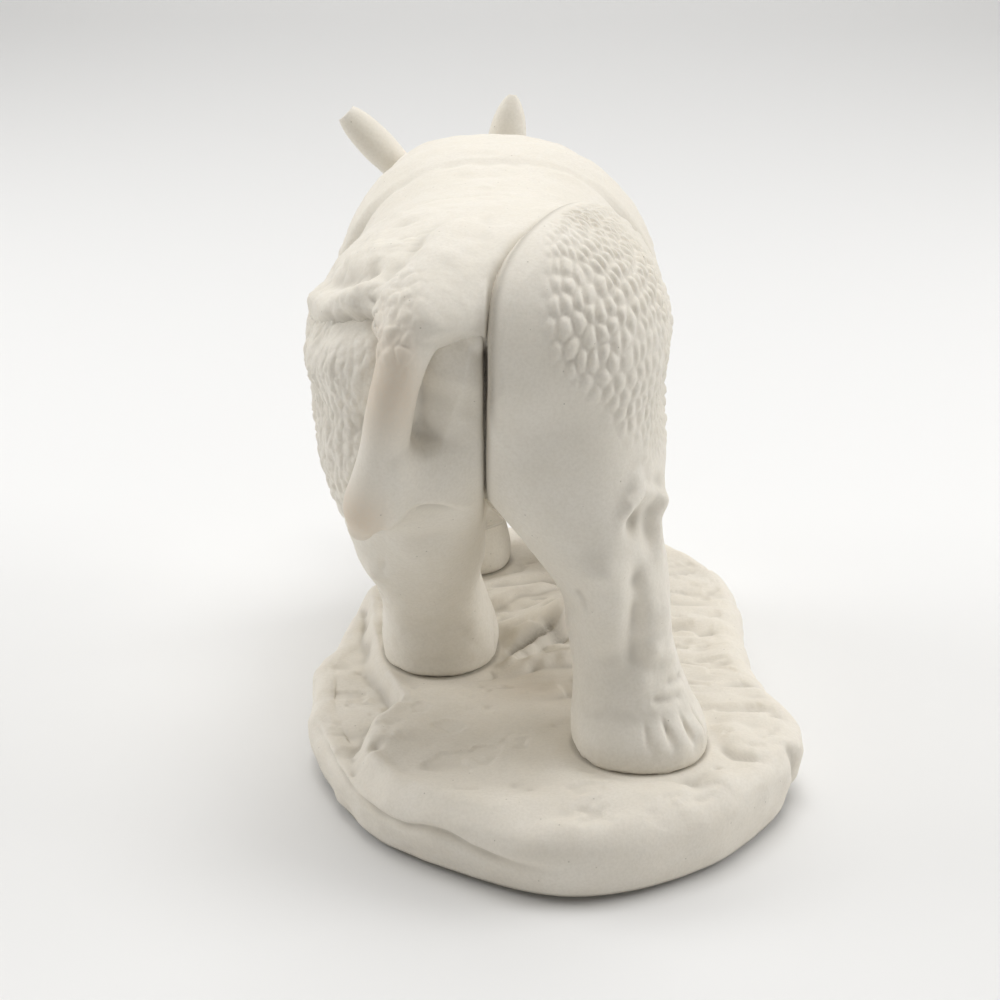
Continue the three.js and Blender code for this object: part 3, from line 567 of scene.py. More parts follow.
@dataclass(frozen=True)
class Biscuit:
    """Unglazed biscuit porcelain: matt ivory, pinholes, iron specks, tan, and soil and painted shade in
    folds.
    """

    name: str
    clay: Colour = (0.80, 0.757, 0.67, 1.0)
    tan: Colour = (0.66, 0.53, 0.39, 1.0)
    # Colour of soil mixed with painted shade in hollows, grooves and clefts, and of the pinholes
    soil_and_shade: Colour = (0.36, 0.33, 0.28, 1.0)
    worn: Colour = (0.84, 0.80, 0.725, 1.0)
    shade: Colour = (0.70, 0.655, 0.57, 1.0)
    roughness: float = 0.62
    grain_size: float = 0.9
    grain_depth: float = 0.10
    swell_size: float = 3.2
    swell_depth: float = 0.16
    mottle_size: float = 14.0
    pinhole_size: float = 5.0
    pinhole_depth: float = 0.08
    speck_size: float = 1.1

    def material(self) -> bpy.types.Material:
        """The finish as a material."""
        recipe = Recipe(self.name)
        place = recipe.place()
        mottle = recipe.step(recipe.noise(place, self.mottle_size), 0.38, 0.66)
        grain = recipe.noise(place, self.grain_size, detail=4.0)
        pinholes = recipe.step(recipe.dots(place, self.pinhole_size), 0.06, 0.035)
        specks = recipe.step(recipe.noise(place, self.speck_size, detail=2.0), 0.70, 0.78)
        colour = (0.55 * mottle).mixed(self.clay, self.worn)
        # Tan from the mesh's mark: a stain, which on the tail's bend and tuft also paints shade
        colour = recipe.mark("tan").mixed(colour, self.tan)
        # Soil and painted shade from the mesh's mark: hollows, grooves, clefts and the plinth's foot
        colour = recipe.mark("soil_and_shade").mixed(colour, self.soil_and_shade)
        colour = (0.22 * specks).mixed(colour, self.tan)
        colour = (0.6 * pinholes).mixed(colour, self.soil_and_shade)
        colour = (0.4 * recipe.step(grain, 0.38, 0.68)).mixed(colour, self.shade)
        height = self.grain_depth * grain + self.swell_depth * recipe.noise(place, self.swell_size)
        bumps = {"Strength": 0.6, "Distance": METRES, "Height": height - self.pinhole_depth * pinholes}
        inputs = {
            "Base Color": colour,
            "Roughness": self.roughness + 0.12 * grain - 0.08 * mottle,
            "Normal": recipe.node("ShaderNodeBump", {}, bumps, output="Normal"),
            "Specular IOR Level": 0.35,
            "Subsurface Weight": 0.05,
            "Subsurface Radius": (0.0035, 0.0028, 0.002),
            "Subsurface Scale": 1.0,
        }
        return recipe.finish(recipe.node("ShaderNodeBsdfPrincipled", {}, inputs))


class Side(Enum):
    """A side of the animal, with the sign of x on it."""

    LEFT = 1
    RIGHT = -1


# Depth of a hollow that is full of soil and painted shade, and the share of that darkening which shows in it
SOIL_AND_SHADE_DEPTH = 0.9
SOIL_AND_SHADE_SHARE = 0.45


@dataclass
class Casting(ABC):
    """One casting of the figure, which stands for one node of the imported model."""

    node: str
    slot: str
    grid: Grid

    @abstractmethod
    def form(self, p: Points) -> Array:
        """The casting's field as it meets its neighbours."""

    @abstractmethod
    def spine(self) -> Array:
        """Points inside the casting that its rays leave from."""

    def relief(self, p: Points) -> Array:
        """Height of the fine work on the surface, here only the softness of hand-finished slip."""
        return 0.12 * swells(p, 9.0, 3)

    def tan(self, p: Points) -> Array:
        """Share of tan at each place: a stain, which on the tail also paints shade."""
        return np.zeros_like(p.x)

    def soil_and_shade(self, p: Points) -> Array:
        """Share of soil and painted shade at each place, besides that painted in the hollows."""
        return np.zeros_like(p.x)

    def skin(self) -> Skin:
        """The casting's surface."""
        return cast(self.form, self.relief, self.spine(), self.grid)

    def build(self, shift: Array) -> bpy.types.Object:
        """Makes the piece, in place in the part's frame, with its marks for the finish."""
        skin = self.skin()
        mesh = skin.mesh(f"{self.node}_skin", shift)
        # Painted shade mixed with soil in the hollows: the deeper the hollow, the darker
        hollow_soil_and_shade = SOIL_AND_SHADE_SHARE * np.clip(hollows(skin) / SOIL_AND_SHADE_DEPTH, 0.0, 1.0) ** 1.3
        for name, share in (("soil_and_shade", hollow_soil_and_shade + self.soil_and_shade(skin.rows)), ("tan", self.tan(skin.rows))):
            share = np.clip(share, 0.0, 1.0)
            data = np.concatenate([share.reshape(-1), share[[0, -1]].mean(axis=1)]).astype(np.float32)
            mesh.attributes.new(name, "FLOAT", "POINT").data.foreach_set("value", data)
        piece = bpy.data.objects.new(f"{self.node}_casting", mesh)
        bpy.context.scene.collection.objects.link(piece)
        return piece

    def dress(self, piece: bpy.types.Object, finish: bpy.types.Material) -> None:
        """Gives the piece its finish and ties it to the frame."""
        piece.data.materials.append(finish)
        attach(piece, "root")
        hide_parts(self.node)


BACK_HEIGHT = 149.0
BELLY_HEIGHT = 47.0
SHAFT_FILLET = 12.0


@dataclass(frozen=True)
class Fold:
    """A fold round the body. The hide stands proud on one side of its edge, with a groove beside it."""

    y: float
    lean: float
    bow: float
    proud: int
    on_back: float
    on_flank: float
    step: float = 2.4
    groove: float = 2.2
    width: float = 6.0
    fade: float = 26.0

    def edge(self, below: Array) -> Array:
        """Place of the edge along y at a depth below the back: it leans evenly, and bows by half a sine."""
        return self.y + self.lean * below + self.bow * np.sin(np.pi * np.clip(below / 100.0, 0.0, 1.0))

    def on(self, y: Array, below: Array) -> Array:
        """Height that the fold gives the hide: a soft step that fades away from it, less a bell groove."""
        flank = ease(4.0, 34.0, below)
        strength = (self.on_back + (self.on_flank - self.on_back) * flank) * ease(104.0, 78.0, below)
        s = (y - self.edge(below)) * self.proud
        soft = self.width / 3.0
        plate = self.step * ease(-soft, soft, s) * np.exp(-np.maximum(0.0, s) / self.fade)
        return strength * (plate - self.groove * ridge(s + 0.45 * self.width, 0.55 * self.width))


THIGH_FOLD = Fold(3.0, 0.03, 9.0, 1, 0.4, 0.7)
FOLDS = (
    THIGH_FOLD,
    Fold(-46.0, -0.1, 8.0, -1, 0.12, 1.1, step=2.8, groove=4.0, width=5.0),
    Fold(-88.0, 0.3, -4.0, 1, 0.1, 0.9),
    Fold(-103.0, 0.25, -10.0, -1, 0.5, 1.1),
)


@dataclass
class Trunk(Casting):
    """The hollow body with its neck: a rounded form drawn from neck to rump, with the hide's folds."""

    # y, drop of the back, rise of the belly, share of the half width, squareness, bend to the left
    stations: Array = table(
        [-120.0, 8, 40, 0.66, 2.4, 5],
        [-101.0, 3, 24, 0.76, 2.8, 0],
        [-84.0, 2, 12, 0.88, 2.6, -2],
        [-62.0, 0, 4, 0.965, 2.6, -3],
        [-30.0, 3, -1, 0.95, 2.4, -2.5],
        [0.0, 3, 3, 0.93, 2.4, -1.5],
        [28.0, 0, 12, 0.9, 2.5, -0.5],
        [55.0, 1, 24, 0.86, 2.6, 0],
        [87.0, 4, 34, 0.82, 2.7, 0],
    )
    half_width: float = 50.0
    rump: float = 87.0
    rump_end: float = 34.0
    neck: float = -112.0
    neck_end: float = 14.0
    draw_in: float = 9.0
    shield_proud: float = 3.0
    hollow_depth: float = 5.5
    hollow_top: float = 129.5
    dock_rise: float = 5.0
    channel_depth: float = 4.0
    cleft_depth: float = 2.0
    shafts: list[Field] = field(default_factory=list)
    neighbours: list[tuple[Field, Field]] = field(default_factory=list)
    plate_region: Field | None = None

    def axis(self, y: Array) -> tuple[Array, Array, Array, Array, Array]:
        """Middle x and z, half width, half height and squareness of the section at y."""
        drop, rise, width, power, bend = through(self.stations, y)
        top, bottom = BACK_HEIGHT - drop, BELLY_HEIGHT + rise
        return bend, (top + bottom) / 2.0, self.half_width * width, (top - bottom) / 2.0, power

    def shield_edge(self, y: Array) -> Array:
        """Height of the lower edge of the left hip's shield."""
        return BACK_HEIGHT - 28.0 + 12.0 * ease(46.0, 88.0, y)

    def surface(self, p: Points) -> Array:
        """The body by itself."""
        bend, middle, width, height, power = self.axis(p.y)
        rear, front = self.rump - self.rump_end, self.neck + self.neck_end
        behind, ahead = np.maximum(0.0, p.y - rear), np.maximum(0.0, front - p.y)
        share = behind / self.rump_end + ahead / self.neck_end
        length = np.where(behind > 0.0, self.rump_end, self.neck_end)
        base = loft(p.x - bend, p.z - middle, share, length, (width, height), power)
        below = middle + height - p.z
        folds = sum(fold.on(p.y, below) for fold in FOLDS)
        past_fold = p.y - THIGH_FOLD.edge(BACK_HEIGHT - p.z)
        above = p.z - self.shield_edge(p.y)
        on_hip = ease(8.0, 18.0, p.x) * ease(0.0, 8.0, past_fold)
        shield = self.shield_proud * on_hip * ease(-2.0, 2.0, above) * ease(30.0, 4.0, above)
        drawn = self.draw_in * ease(32.0, 60.0, BACK_HEIGHT - p.z) * ease(0.0, 18.0, past_fold)
        return base - folds - shield + drawn + self.hollow(p) - self.dock(p)

    def dock(self, p: Points) -> Array:
        """How far the rump stands out where the tail grows from it: a bell in x and z."""
        bell = np.exp(-(((p.x - 11.0) / 7.5) ** 2) - ((p.z - 129.0) / 12.0) ** 2)
        return self.dock_rise * bell * ease(-1.5, 3.5, p.x) * ease(40.0, 74.0, p.y)

    def hollow(self, p: Points) -> Array:
        """The hollow of the left buttock, under the rump's overhang and beside the tail."""
        edge = self.hollow_top - 4.0 * ease(7.0, -1.0, p.x)
        depth = ease(edge + 2.5, edge - 4.0, p.z) * ease(84.0, 112.0, p.z)
        across = ease(22.0, 16.0, p.x) * ease(-1.2, -0.2, p.x)
        return self.hollow_depth * depth * across * ease(45.0, 66.0, p.y)

    def jointed(self, p: Points) -> Array:
        """The body with the legs' shafts joined to it, which the thigh plates lie on."""
        body = self.surface(p)
        return body - sum(fillet(body, shaft(p), SHAFT_FILLET) for shaft in self.shafts)

    def on_legs(self, p: Points) -> Array:
        """The body as it meets the legs."""
        met, hollow = self.surface(p), self.hollow(p)
        for shaft in self.shafts:
            met = meet(met, shaft(p) + hollow, SHAFT_FILLET)
        return met

    def form(self, p: Points) -> Array:
        """The body as it meets the legs, the head and the tail."""
        met = self.on_legs(p)
        for other, width in self.neighbours:
            met = meet(met, other(p), width(p))
        return met + self.channel(p)

    def channel(self, p: Points) -> Array:
        """Depth of the channel along the right thigh's plate, and of the body between the thighs."""
        along_plate = ridge(self.plate_region(p) - 0.7, 1.8) * ease(30.0, 60.0, p.z)
        return np.maximum(self.channel_depth * along_plate, self.cleft_depth * self.cleft(p))

    def cleft(self, p: Points) -> Array:
        """Where the body shows between the two thighs, from 0 to 1."""
        return ridge(p.x + 0.2, 1.3) * ease(129.0, 120.0, p.z) * ease(30.0, 50.0, p.y)

    def soil_and_shade(self, p: Points) -> Array:
        """Soil and painted shade in the channel beside the right plate, in the cleft and in the crease under
        the shield.
        """
        under_shield = ridge(p.z - self.shield_edge(p.y) + 0.6, 1.0)
        crease = under_shield * ease(24.0, 30.0, p.x) * ease(20.0, 40.0, p.y)
        groove = ridge(self.plate_region(p) - 0.8, 1.7) * ease(30.0, 60.0, p.z)
        return np.maximum(0.85 * groove, 0.5 * self.cleft(p)) + 0.35 * crease

    def spine(self) -> Array:
        """The middle of the section, from the rump to the neck."""
        y = np.array([56.0, 20.0, -20.0, -60.0, -100.0])
        bend, middle, *_ = self.axis(y)
        return np.stack([bend, y, middle], axis=1)

    def relief(self, p: Points) -> Array:
        """Soft unevenness of the back, rough hide on the flanks, and the lumps of the left hip."""
        flank = ease(14.0, 44.0, BACK_HEIGHT - p.z) * ease(74.0, 50.0, p.y)
        hide = cobbles(Points(p.x, p.y * 0.8, p.z * 0.8), 3.2, 11)
        wrinkles = swells(Points(p.x, p.y, p.z * 0.45), 7.0, 23)
        soft = 0.5 * swells(p, 17.0, 5) + 0.2 * swells(p, 5.0, 9, layers=2)
        hip = ease(10.0, 22.0, p.x) * ease(18.0, 34.0, p.y) * ease(118.0, 126.0, p.z)
        patches = ease(-0.4, 0.3, swell(p, 12.0, 33))
        lumps = 0.7 * swells(p, 7.5, 27, layers=2) + 0.5 * cobbles(p, 4.4, 29) * patches
        return soft + flank * (0.45 * hide + 0.6 * wrinkles) + hip * lumps + worked(p, TRUNK_MARKS)


# The left hip's lumps and its lip, the furrow above the lip, the valley beside the tail's root, the diagonal
# wrinkles and the folds of both shoulders, and the small bump of the spine
TRUNK_MARKS: Marks = (
    Crease(((47, 30, 125), (45.5, 48, 126.5), (41, 64, 129.5), (34, 74, 134), (27, 80, 137.5)), 4.0, -2.6),
    Crease(((46, 46, 134), (40, 60, 137.5), (33, 68, 140), (26, 73, 142)), 4.2, 2.0),
    Crease(((5, 44, 148), (8, 58, 147), (11.5, 70, 144), (13.5, 80, 140)), 5.5, -2.2),
    Crease(((15, 50, 149), (18.5, 66, 145), (22.5, 76, 139), (25.5, 80, 134), (27, 80, 130)), 3.2, 2.4),
    Crease(((20, 70, 143), (23, 77, 138.5), (26, 80, 134), (28.5, 80, 129), (29, 78, 124)), 2.8, 3.2),
    Lump((39, 45, 140), (5, 6, 4), 1.8),
    Lump((32, 52, 143), (5, 5, 4), 1.7),
    Lump((27, 58, 144), (4, 5, 4), 1.2),
    Lump((37, 56, 139), (4, 4, 3), 1.1),
    Lump((30, 64, 141), (4, 4, 3), 1.0),
    Lump((42, 30, 138), (4, 8, 5), 1.2),
    Lump((21, 66, 145), (5, 11, 6), -1.0),
    Crease(((38, 6, 138), (31, 14, 144), (22, 22, 147)), 3.0, -1.7),
    Crease(((40, -2, 137), (32, 2, 143), (22, 8, 147)), 2.4, 1.4),
    Crease(((38, -18, 138), (31, -14, 143), (23, -8, 147)), 2.8, -1.6),
    Crease(((37, -10, 140), (30, -6, 144), (22, 0, 147)), 1.8, 1.1),
    Crease(((26.9, -30, 146.6), (34.3, -20, 143.6), (39.9, -12, 139.5), (43.3, -5, 135), (46.4, 5, 130.5)),
           1.5, 3.0),
    Crease(((28, -38, 147), (36.5, -29, 143.5), (42.5, -21, 139), (46.5, -14, 134), (49, -5, 129)), 3, -2.2),
    Crease(((-29, -38, 146), (-34, -31, 144.3), (-39.4, -25, 141), (-43.3, -20, 137.7), (-46, -16, 133)),
           1.5, 2.2),
    Crease(((-27, -44, 147), (-34, -38, 145.5), (-41, -31, 141.5), (-46, -25, 137)), 2.2, -1.5),
    Lump((0.8, -13, 147), (2.4, 3, 2), 0.9),
    Crease(((-10, -20, 149), (-17, -14, 147), (-24, -10, 145)), 3.0, -0.8),
    Crease(((12, -34, 148), (4, -28, 149), (-6, -30, 149)), 3.6, 0.9),
    Crease(((20, -6, 147), (10, 2, 148.5), (2, 2, 148.5)), 3.4, 0.8),
    Crease(((30, 34, 145), (22, 38, 148), (12, 38, 149)), 3.2, 0.7),
)


@dataclass
class Leg(Casting):
    """A hollow leg: a rounded form drawn from its sole to its domed top."""

    side: Side
    # height, outer and inner edge from behind, rear and front edge from the side, squareness
    stations: Array
    top: float
    trunk: Trunk
    sole_rounding: float = 2.5
    marks: Marks = ()
    neighbours: list[tuple[Field, Field]] = field(default_factory=list)

    def shaft(self, p: Points) -> Array:
        """The leg by itself, without its plate."""
        outer, inner, rear, front, power = through(self.stations, p.z)
        shoulder = self.stations[-1, 0]
        share = np.maximum(0.0, (p.z - shoulder) / (self.top - shoulder))
        half = (np.abs(outer - inner) / 2.0, (rear - front) / 2.0)
        across, along = p.x - (outer + inner) / 2.0, p.y - (rear + front) / 2.0
        return loft(across, along, share, self.top - shoulder, half, power)

    def form(self, p: Points) -> Array:
        """The shaft with its side of the fillet to the body, and a rounded sole."""
        return trim(meet(self.shaft(p), self.trunk.surface(p), SHAFT_FILLET), -p.z, self.sole_rounding)

    def spine(self) -> Array:
        """A straight line from the hip to the ankle."""
        z = np.array([self.stations[-1, 0] - 6.0, 12.0])
        outer, inner, rear, front, _ = through(self.stations, z)
        ends = np.stack([(outer + inner) / 2.0, (rear + front) / 2.0, z], axis=1)
        return np.array([ends[0], ends.mean(axis=0), ends[1]])

    def relief(self, p: Points) -> Array:
        """Pebbled hide above, which gets smoother and creased across towards the foot."""
        high = ease(20.0, 60.0, p.z)
        hide = 0.175 * pebbles(Points(p.x, p.y, p.z * 0.8), 3.4, 31)
        wrinkles = 0.45 * swells(Points(p.x, p.y, p.z * 1.8), 8.0, 41)
        return 0.6 * (0.25 + 0.75 * high) * (hide + wrinkles) + worked(p, self.marks)

    def sole(self) -> tuple[float, float, float, float]:
        """The ellipse that the sole covers: its middle's x and y, and its half sizes along them."""
        _, outer, inner, rear, front, _ = self.stations[0]
        return (outer + inner) / 2, (rear + front) / 2, abs(outer - inner) / 2, (rear - front) / 2


@dataclass
class HindLeg(Leg):
    """A hind leg with its thigh's plate, which laps over the rump and meets the other thigh in a cleft."""

    plate_proud: float = 2.4
    plate_rounding: float = 3.5
    plate_fillet: float = 9.0
    cleft: float = 0.4
    cleft_offset: float = 0.9
    cleft_rounding: float = 1.2
    ledge_depth: float = 4.6
    knob_height: float = 1.35
    # x, and the y of the right plate's edge there, seen from above
    arch: Array = table(
        [-60, 4], [-50, -1], [-45, 1], [-39, 6], [-33, 15], [-26, 30], [-20, 45], [-14, 60], [-9, 71],
        [-5, 80], [0, 92],
    )
    # x, and the height of the ledge under the tail's tuft there
    ledge: Array = table(
        [-5, 74], [6, 77], [12, 80], [18.5, 81.5], [21.8, 79], [24.5, 75.5], [27, 71.5], [31, 67.5], [36, 66],
        [46, 66],
    )

    def region(self, p: Points) -> Array:
        """Where the plate lies: negative inside its outline."""
        if self.side is Side.LEFT:
            before_fold = THIGH_FOLD.edge(BACK_HEIGHT - p.z) - p.y
            return trim(p.z - self.trunk.shield_edge(p.y), before_fold, 4.0)
        edge, edge_on = (through(self.arch, p.x + d)[0] for d in (0.0, 1.0))
        over = (edge - p.y) / np.sqrt(1.0 + (edge_on - edge) ** 2)
        return trim(over, p.x + self.cleft_offset, 5.0)

    def surface(self, p: Points) -> Array:
        """Shaft and plate, cut at the middle plane. The left plate tucks in under the shield's lip."""
        shaft = self.shaft(p) + self.trunk.hollow(p)
        joined = shaft - fillet(shaft, self.trunk.surface(p), SHAFT_FILLET)
        proud = self.plate_proud
        if self.side is Side.LEFT:
            proud = proud * (0.1 + 1.5 * ease(0.0, 9.0, self.trunk.shield_edge(p.y) - p.z))
        plate = trim(self.trunk.jointed(p) - proud, self.region(p), self.plate_rounding)
        middle = self.cleft - self.side.value * p.x - 12.0 * ease(62.0, 34.0, p.z)
        thigh = trim(join(joined, plate, self.plate_fillet), middle, self.cleft_rounding)
        return thigh + self.under_ledge(p)

    def under_ledge(self, p: Points) -> Array:
        """Depth of the hollow under the ledge, which only the left thigh has."""
        if self.side is Side.RIGHT:
            return np.zeros_like(p.x)
        ledge = through(self.ledge, p.x)[0]
        under = ease(ledge + 1.0, ledge - 2.5, p.z) * ease(ledge - 34.0, ledge - 8.0, p.z)
        return self.ledge_depth * under * ease(1.0, 14.0, p.x) * ease(42.0, 60.0, p.y)

    def form(self, p: Points) -> Array:
        """The thigh as it meets the tail, with a rounded sole."""
        thigh = self.surface(p)
        for other, width in self.neighbours:
            thigh = meet(thigh, other(p), width(p))
        return trim(thigh, -p.z, self.sole_rounding)

    def soil_and_shade(self, p: Points) -> Array:
        """Painted shade, with soil, in the cleft between the thighs and along the right plate's edge."""
        cleft_shade = 0.5 * ridge(p.x + 0.2, 1.2) * ease(54.0, 64.0, p.z) * ease(40.0, 56.0, p.y)
        if self.side is Side.LEFT:
            return cleft_shade
        return np.maximum(cleft_shade, 0.6 * ridge(self.region(p) - 0.1, 1.2) * ease(100.0, 112.0, p.z))

    def relief(self, p: Points) -> Array:
        """The marks and soft swells, and on them each thigh's own hide."""
        soft = 0.12 * swells(p, 12.0, 51) + 0.3 * swells(p, 7.0, 53) * ease(66.0, 50.0, p.z)
        hide = self.wrinkled(p) if self.side is Side.LEFT else self.knobbed(p)
        return 1.5 * worked(p, self.marks) + soft + hide

    def wrinkled(self, p: Points) -> Array:
        """Shallow wrinkles and patches of warts on the thigh's outer side."""
        outer = ease(22.0, 36.0, p.x) * ease(48.0, 66.0, p.z)
        warts = 0.6 * cobbles(Points(p.x, p.y, p.z * 0.8), 3.2, 61) * ease(-0.5, 0.3, swell(p, 13.0, 65))
        return outer * (warts + 0.9 * swells(Points(p.x, p.y * 0.9, p.z * 0.7), 6.5, 63))

    def knobbed(self, p: Points) -> Array:
        """Rows of knobs on the plate's upper outer part, by turn and rise about the thigh's middle."""
        low = 123.0 + 1.21 * (p.x + 19.0)
        where = ease(-13.0, -20.0, p.x) * ease(low - 7.0, low + 5.0, p.z) * ease(-1.5, -7.0, self.region(p))
        behind, beside, above = p.y - 45.0, -p.x - 8.0, p.z - 92.0
        turn, rise = np.arctan2(behind, beside), np.arctan2(above, np.hypot(behind, beside))
        size = 1.0 + swell(p, 21.0, 75) / 7.0
        fade = 0.6 + 0.4 * ease(-0.5, 0.4, swell(p, 15.0, 79))
        layout = knobs((42.0 * turn + 0.9 * swell(p, 7.0, 77)) / 3.4, 50.0 * (rise + 0.22 * turn) / 4.3, 71)
        return self.knob_height * where * fade * layout * size


@dataclass(frozen=True)
class Mass:
    """An egg-shaped mass of the head, in the head's frame."""

    at: Place
    half: Place
    blend: float


@dataclass
class Head(Casting):
    """The skull, jaw and muzzle. In its own frame s runs forward along the skull, t to the left and w up."""

    trunk: Trunk
    origin: Place = (11.5, -117.0, 131.0)
    yaw: float = 19.0
    pitch: float = 36.0
    masses: tuple[Mass, ...] = (
        Mass((2, 0, -15), (22, 21, 19), 0),
        Mass((20, 0, -18), (22, 19, 16), 8),
        Mass((16, 0, -35), (21, 16.5, 14), 9),
        Mass((39, 0, -26), (22, 14, 13.5), 9),
        Mass((56, 0, -27), (14, 13, 12.5), 7),
        Mass((56, 0, -16), (10, 9, 7), 6),
        Mass((67, 0, -33), (8.5, 9, 8.5), 6),
        Mass((55, 0, -40), (14, 9.5, 6.5), 4),
    )
    paired: tuple[Mass, ...] = (
        Mass((29, 14, -12), (6, 4, 4.5), 4),
        Mass((31, 16.5, -18), (3.6, 3.2, 2.9), 2),
        Mass((66, 8, -27), (4, 3.4, 3.4), 3),
    )
    fillet_width: float = 9.0

    def axes(self) -> tuple[Array, Array, Array]:
        """Directions forward, left and up of the skull."""
        yaw, pitch = np.radians([self.yaw, self.pitch])
        level = np.array([np.sin(yaw), -np.cos(yaw), 0.0])
        forward = level * np.cos(pitch) + np.array([0.0, 0.0, -np.sin(pitch)])
        up = level * np.sin(pitch) + np.array([0.0, 0.0, np.cos(pitch)])
        return forward, np.cross(up, forward), up

    def inward(self, p: Points) -> Points:
        """Places in the head's own frame."""
        q = p.moved(*self.origin)
        return Points(*(q.x * axis[0] + q.y * axis[1] + q.z * axis[2] for axis in self.axes()))

    def point(self, s: float, t: float, w: float) -> Array:
        """A point of the head in the animal's frame."""
        return np.array(self.origin) + self.way(s, t, w)

    def way(self, s: float | Array, t: float | Array, w: float | Array) -> Array:
        """A direction of the head in the animal's frame: s forward, t to the left and w up."""
        forward, left, up = self.axes()
        s, t, w = (np.asarray(part)[..., None] for part in (s, t, w))
        return s * forward + t * left + w * up

    def surface(self, p: Points) -> Array:
        """The head by itself: its masses joined one after the other."""
        q = self.inward(p)
        skull = np.full_like(p.x, 1e3)
        for mass in self.masses:
            part = egg(q.moved(*mass.at), *mass.half)
            skull = join(skull, part, mass.blend) if mass.blend else part
        mirrored = Points(q.x, np.abs(q.y), q.z)
        for mass in self.paired:
            skull = join(skull, egg(mirrored.moved(*mass.at), *mass.half), mass.blend)
        return skull

    def form(self, p: Points) -> Array:
        """The head with its side of the fillet to the neck."""
        return meet(self.surface(p), self.trunk.on_legs(p), self.melt(p))

    def melt(self, p: Points) -> Array:
        """Width of the fillet to the neck."""
        return np.full_like(p.x, self.fillet_width)

    def spine(self) -> Array:
        """From the back of the skull to the muzzle."""
        middle_line = (2, 0, -17), (22, 0, -24), (42, 0, -28), (59, 0, -30)
        return np.array([self.point(*place) for place in middle_line])

    def relief(self, p: Points) -> Array:
        """Mouth, eyelids and nostrils, and the soft wrinkles of the cheeks."""
        q = self.inward(p)
        mirrored = Points(q.x, np.abs(q.y), q.z)
        return worked(mirrored, HEAD_MARKS) + 0.3 * swells(Points(q.x, q.y, q.z * 0.6), 6.0, 81)


# Mouth, eyelids, nostril and cheek folds, in the head's frame and on both sides
HEAD_MARKS: Marks = (
    Crease(((73, 2, -37), (68, 8, -36.5), (58, 11.5, -36), (47, 13, -35)), 1.1, 1.6),
    Crease(((27.5, 19, -18.5), (31, 19.5, -16), (34.5, 19, -17.5)), 0.9, 0.9),
    Crease(((27.5, 19, -18.5), (31, 19.5, -20.5), (34.5, 19, -19)), 0.9, 0.9),
    Lump((71, 10, -27), (2.6, 2.4, 1.6), -1.8),
    Crease(((44, 14, -20), (40, 16.5, -26), (40, 16, -33)), 1.8, 0.8),
    Crease(((50, 12, -20), (48, 14, -26), (48, 13, -32)), 1.5, 0.7),
)


# Small cracks across the outside of the bend
TAIL_MARKS: Marks = (
    Crease(((24.5, 93, 136), (21, 95, 137), (17, 95, 137.5)), 0.5, 0.35),
    Crease(((25, 94, 133), (21.5, 96.5, 134.2), (18.5, 97, 134.5)), 0.5, 0.3),
)


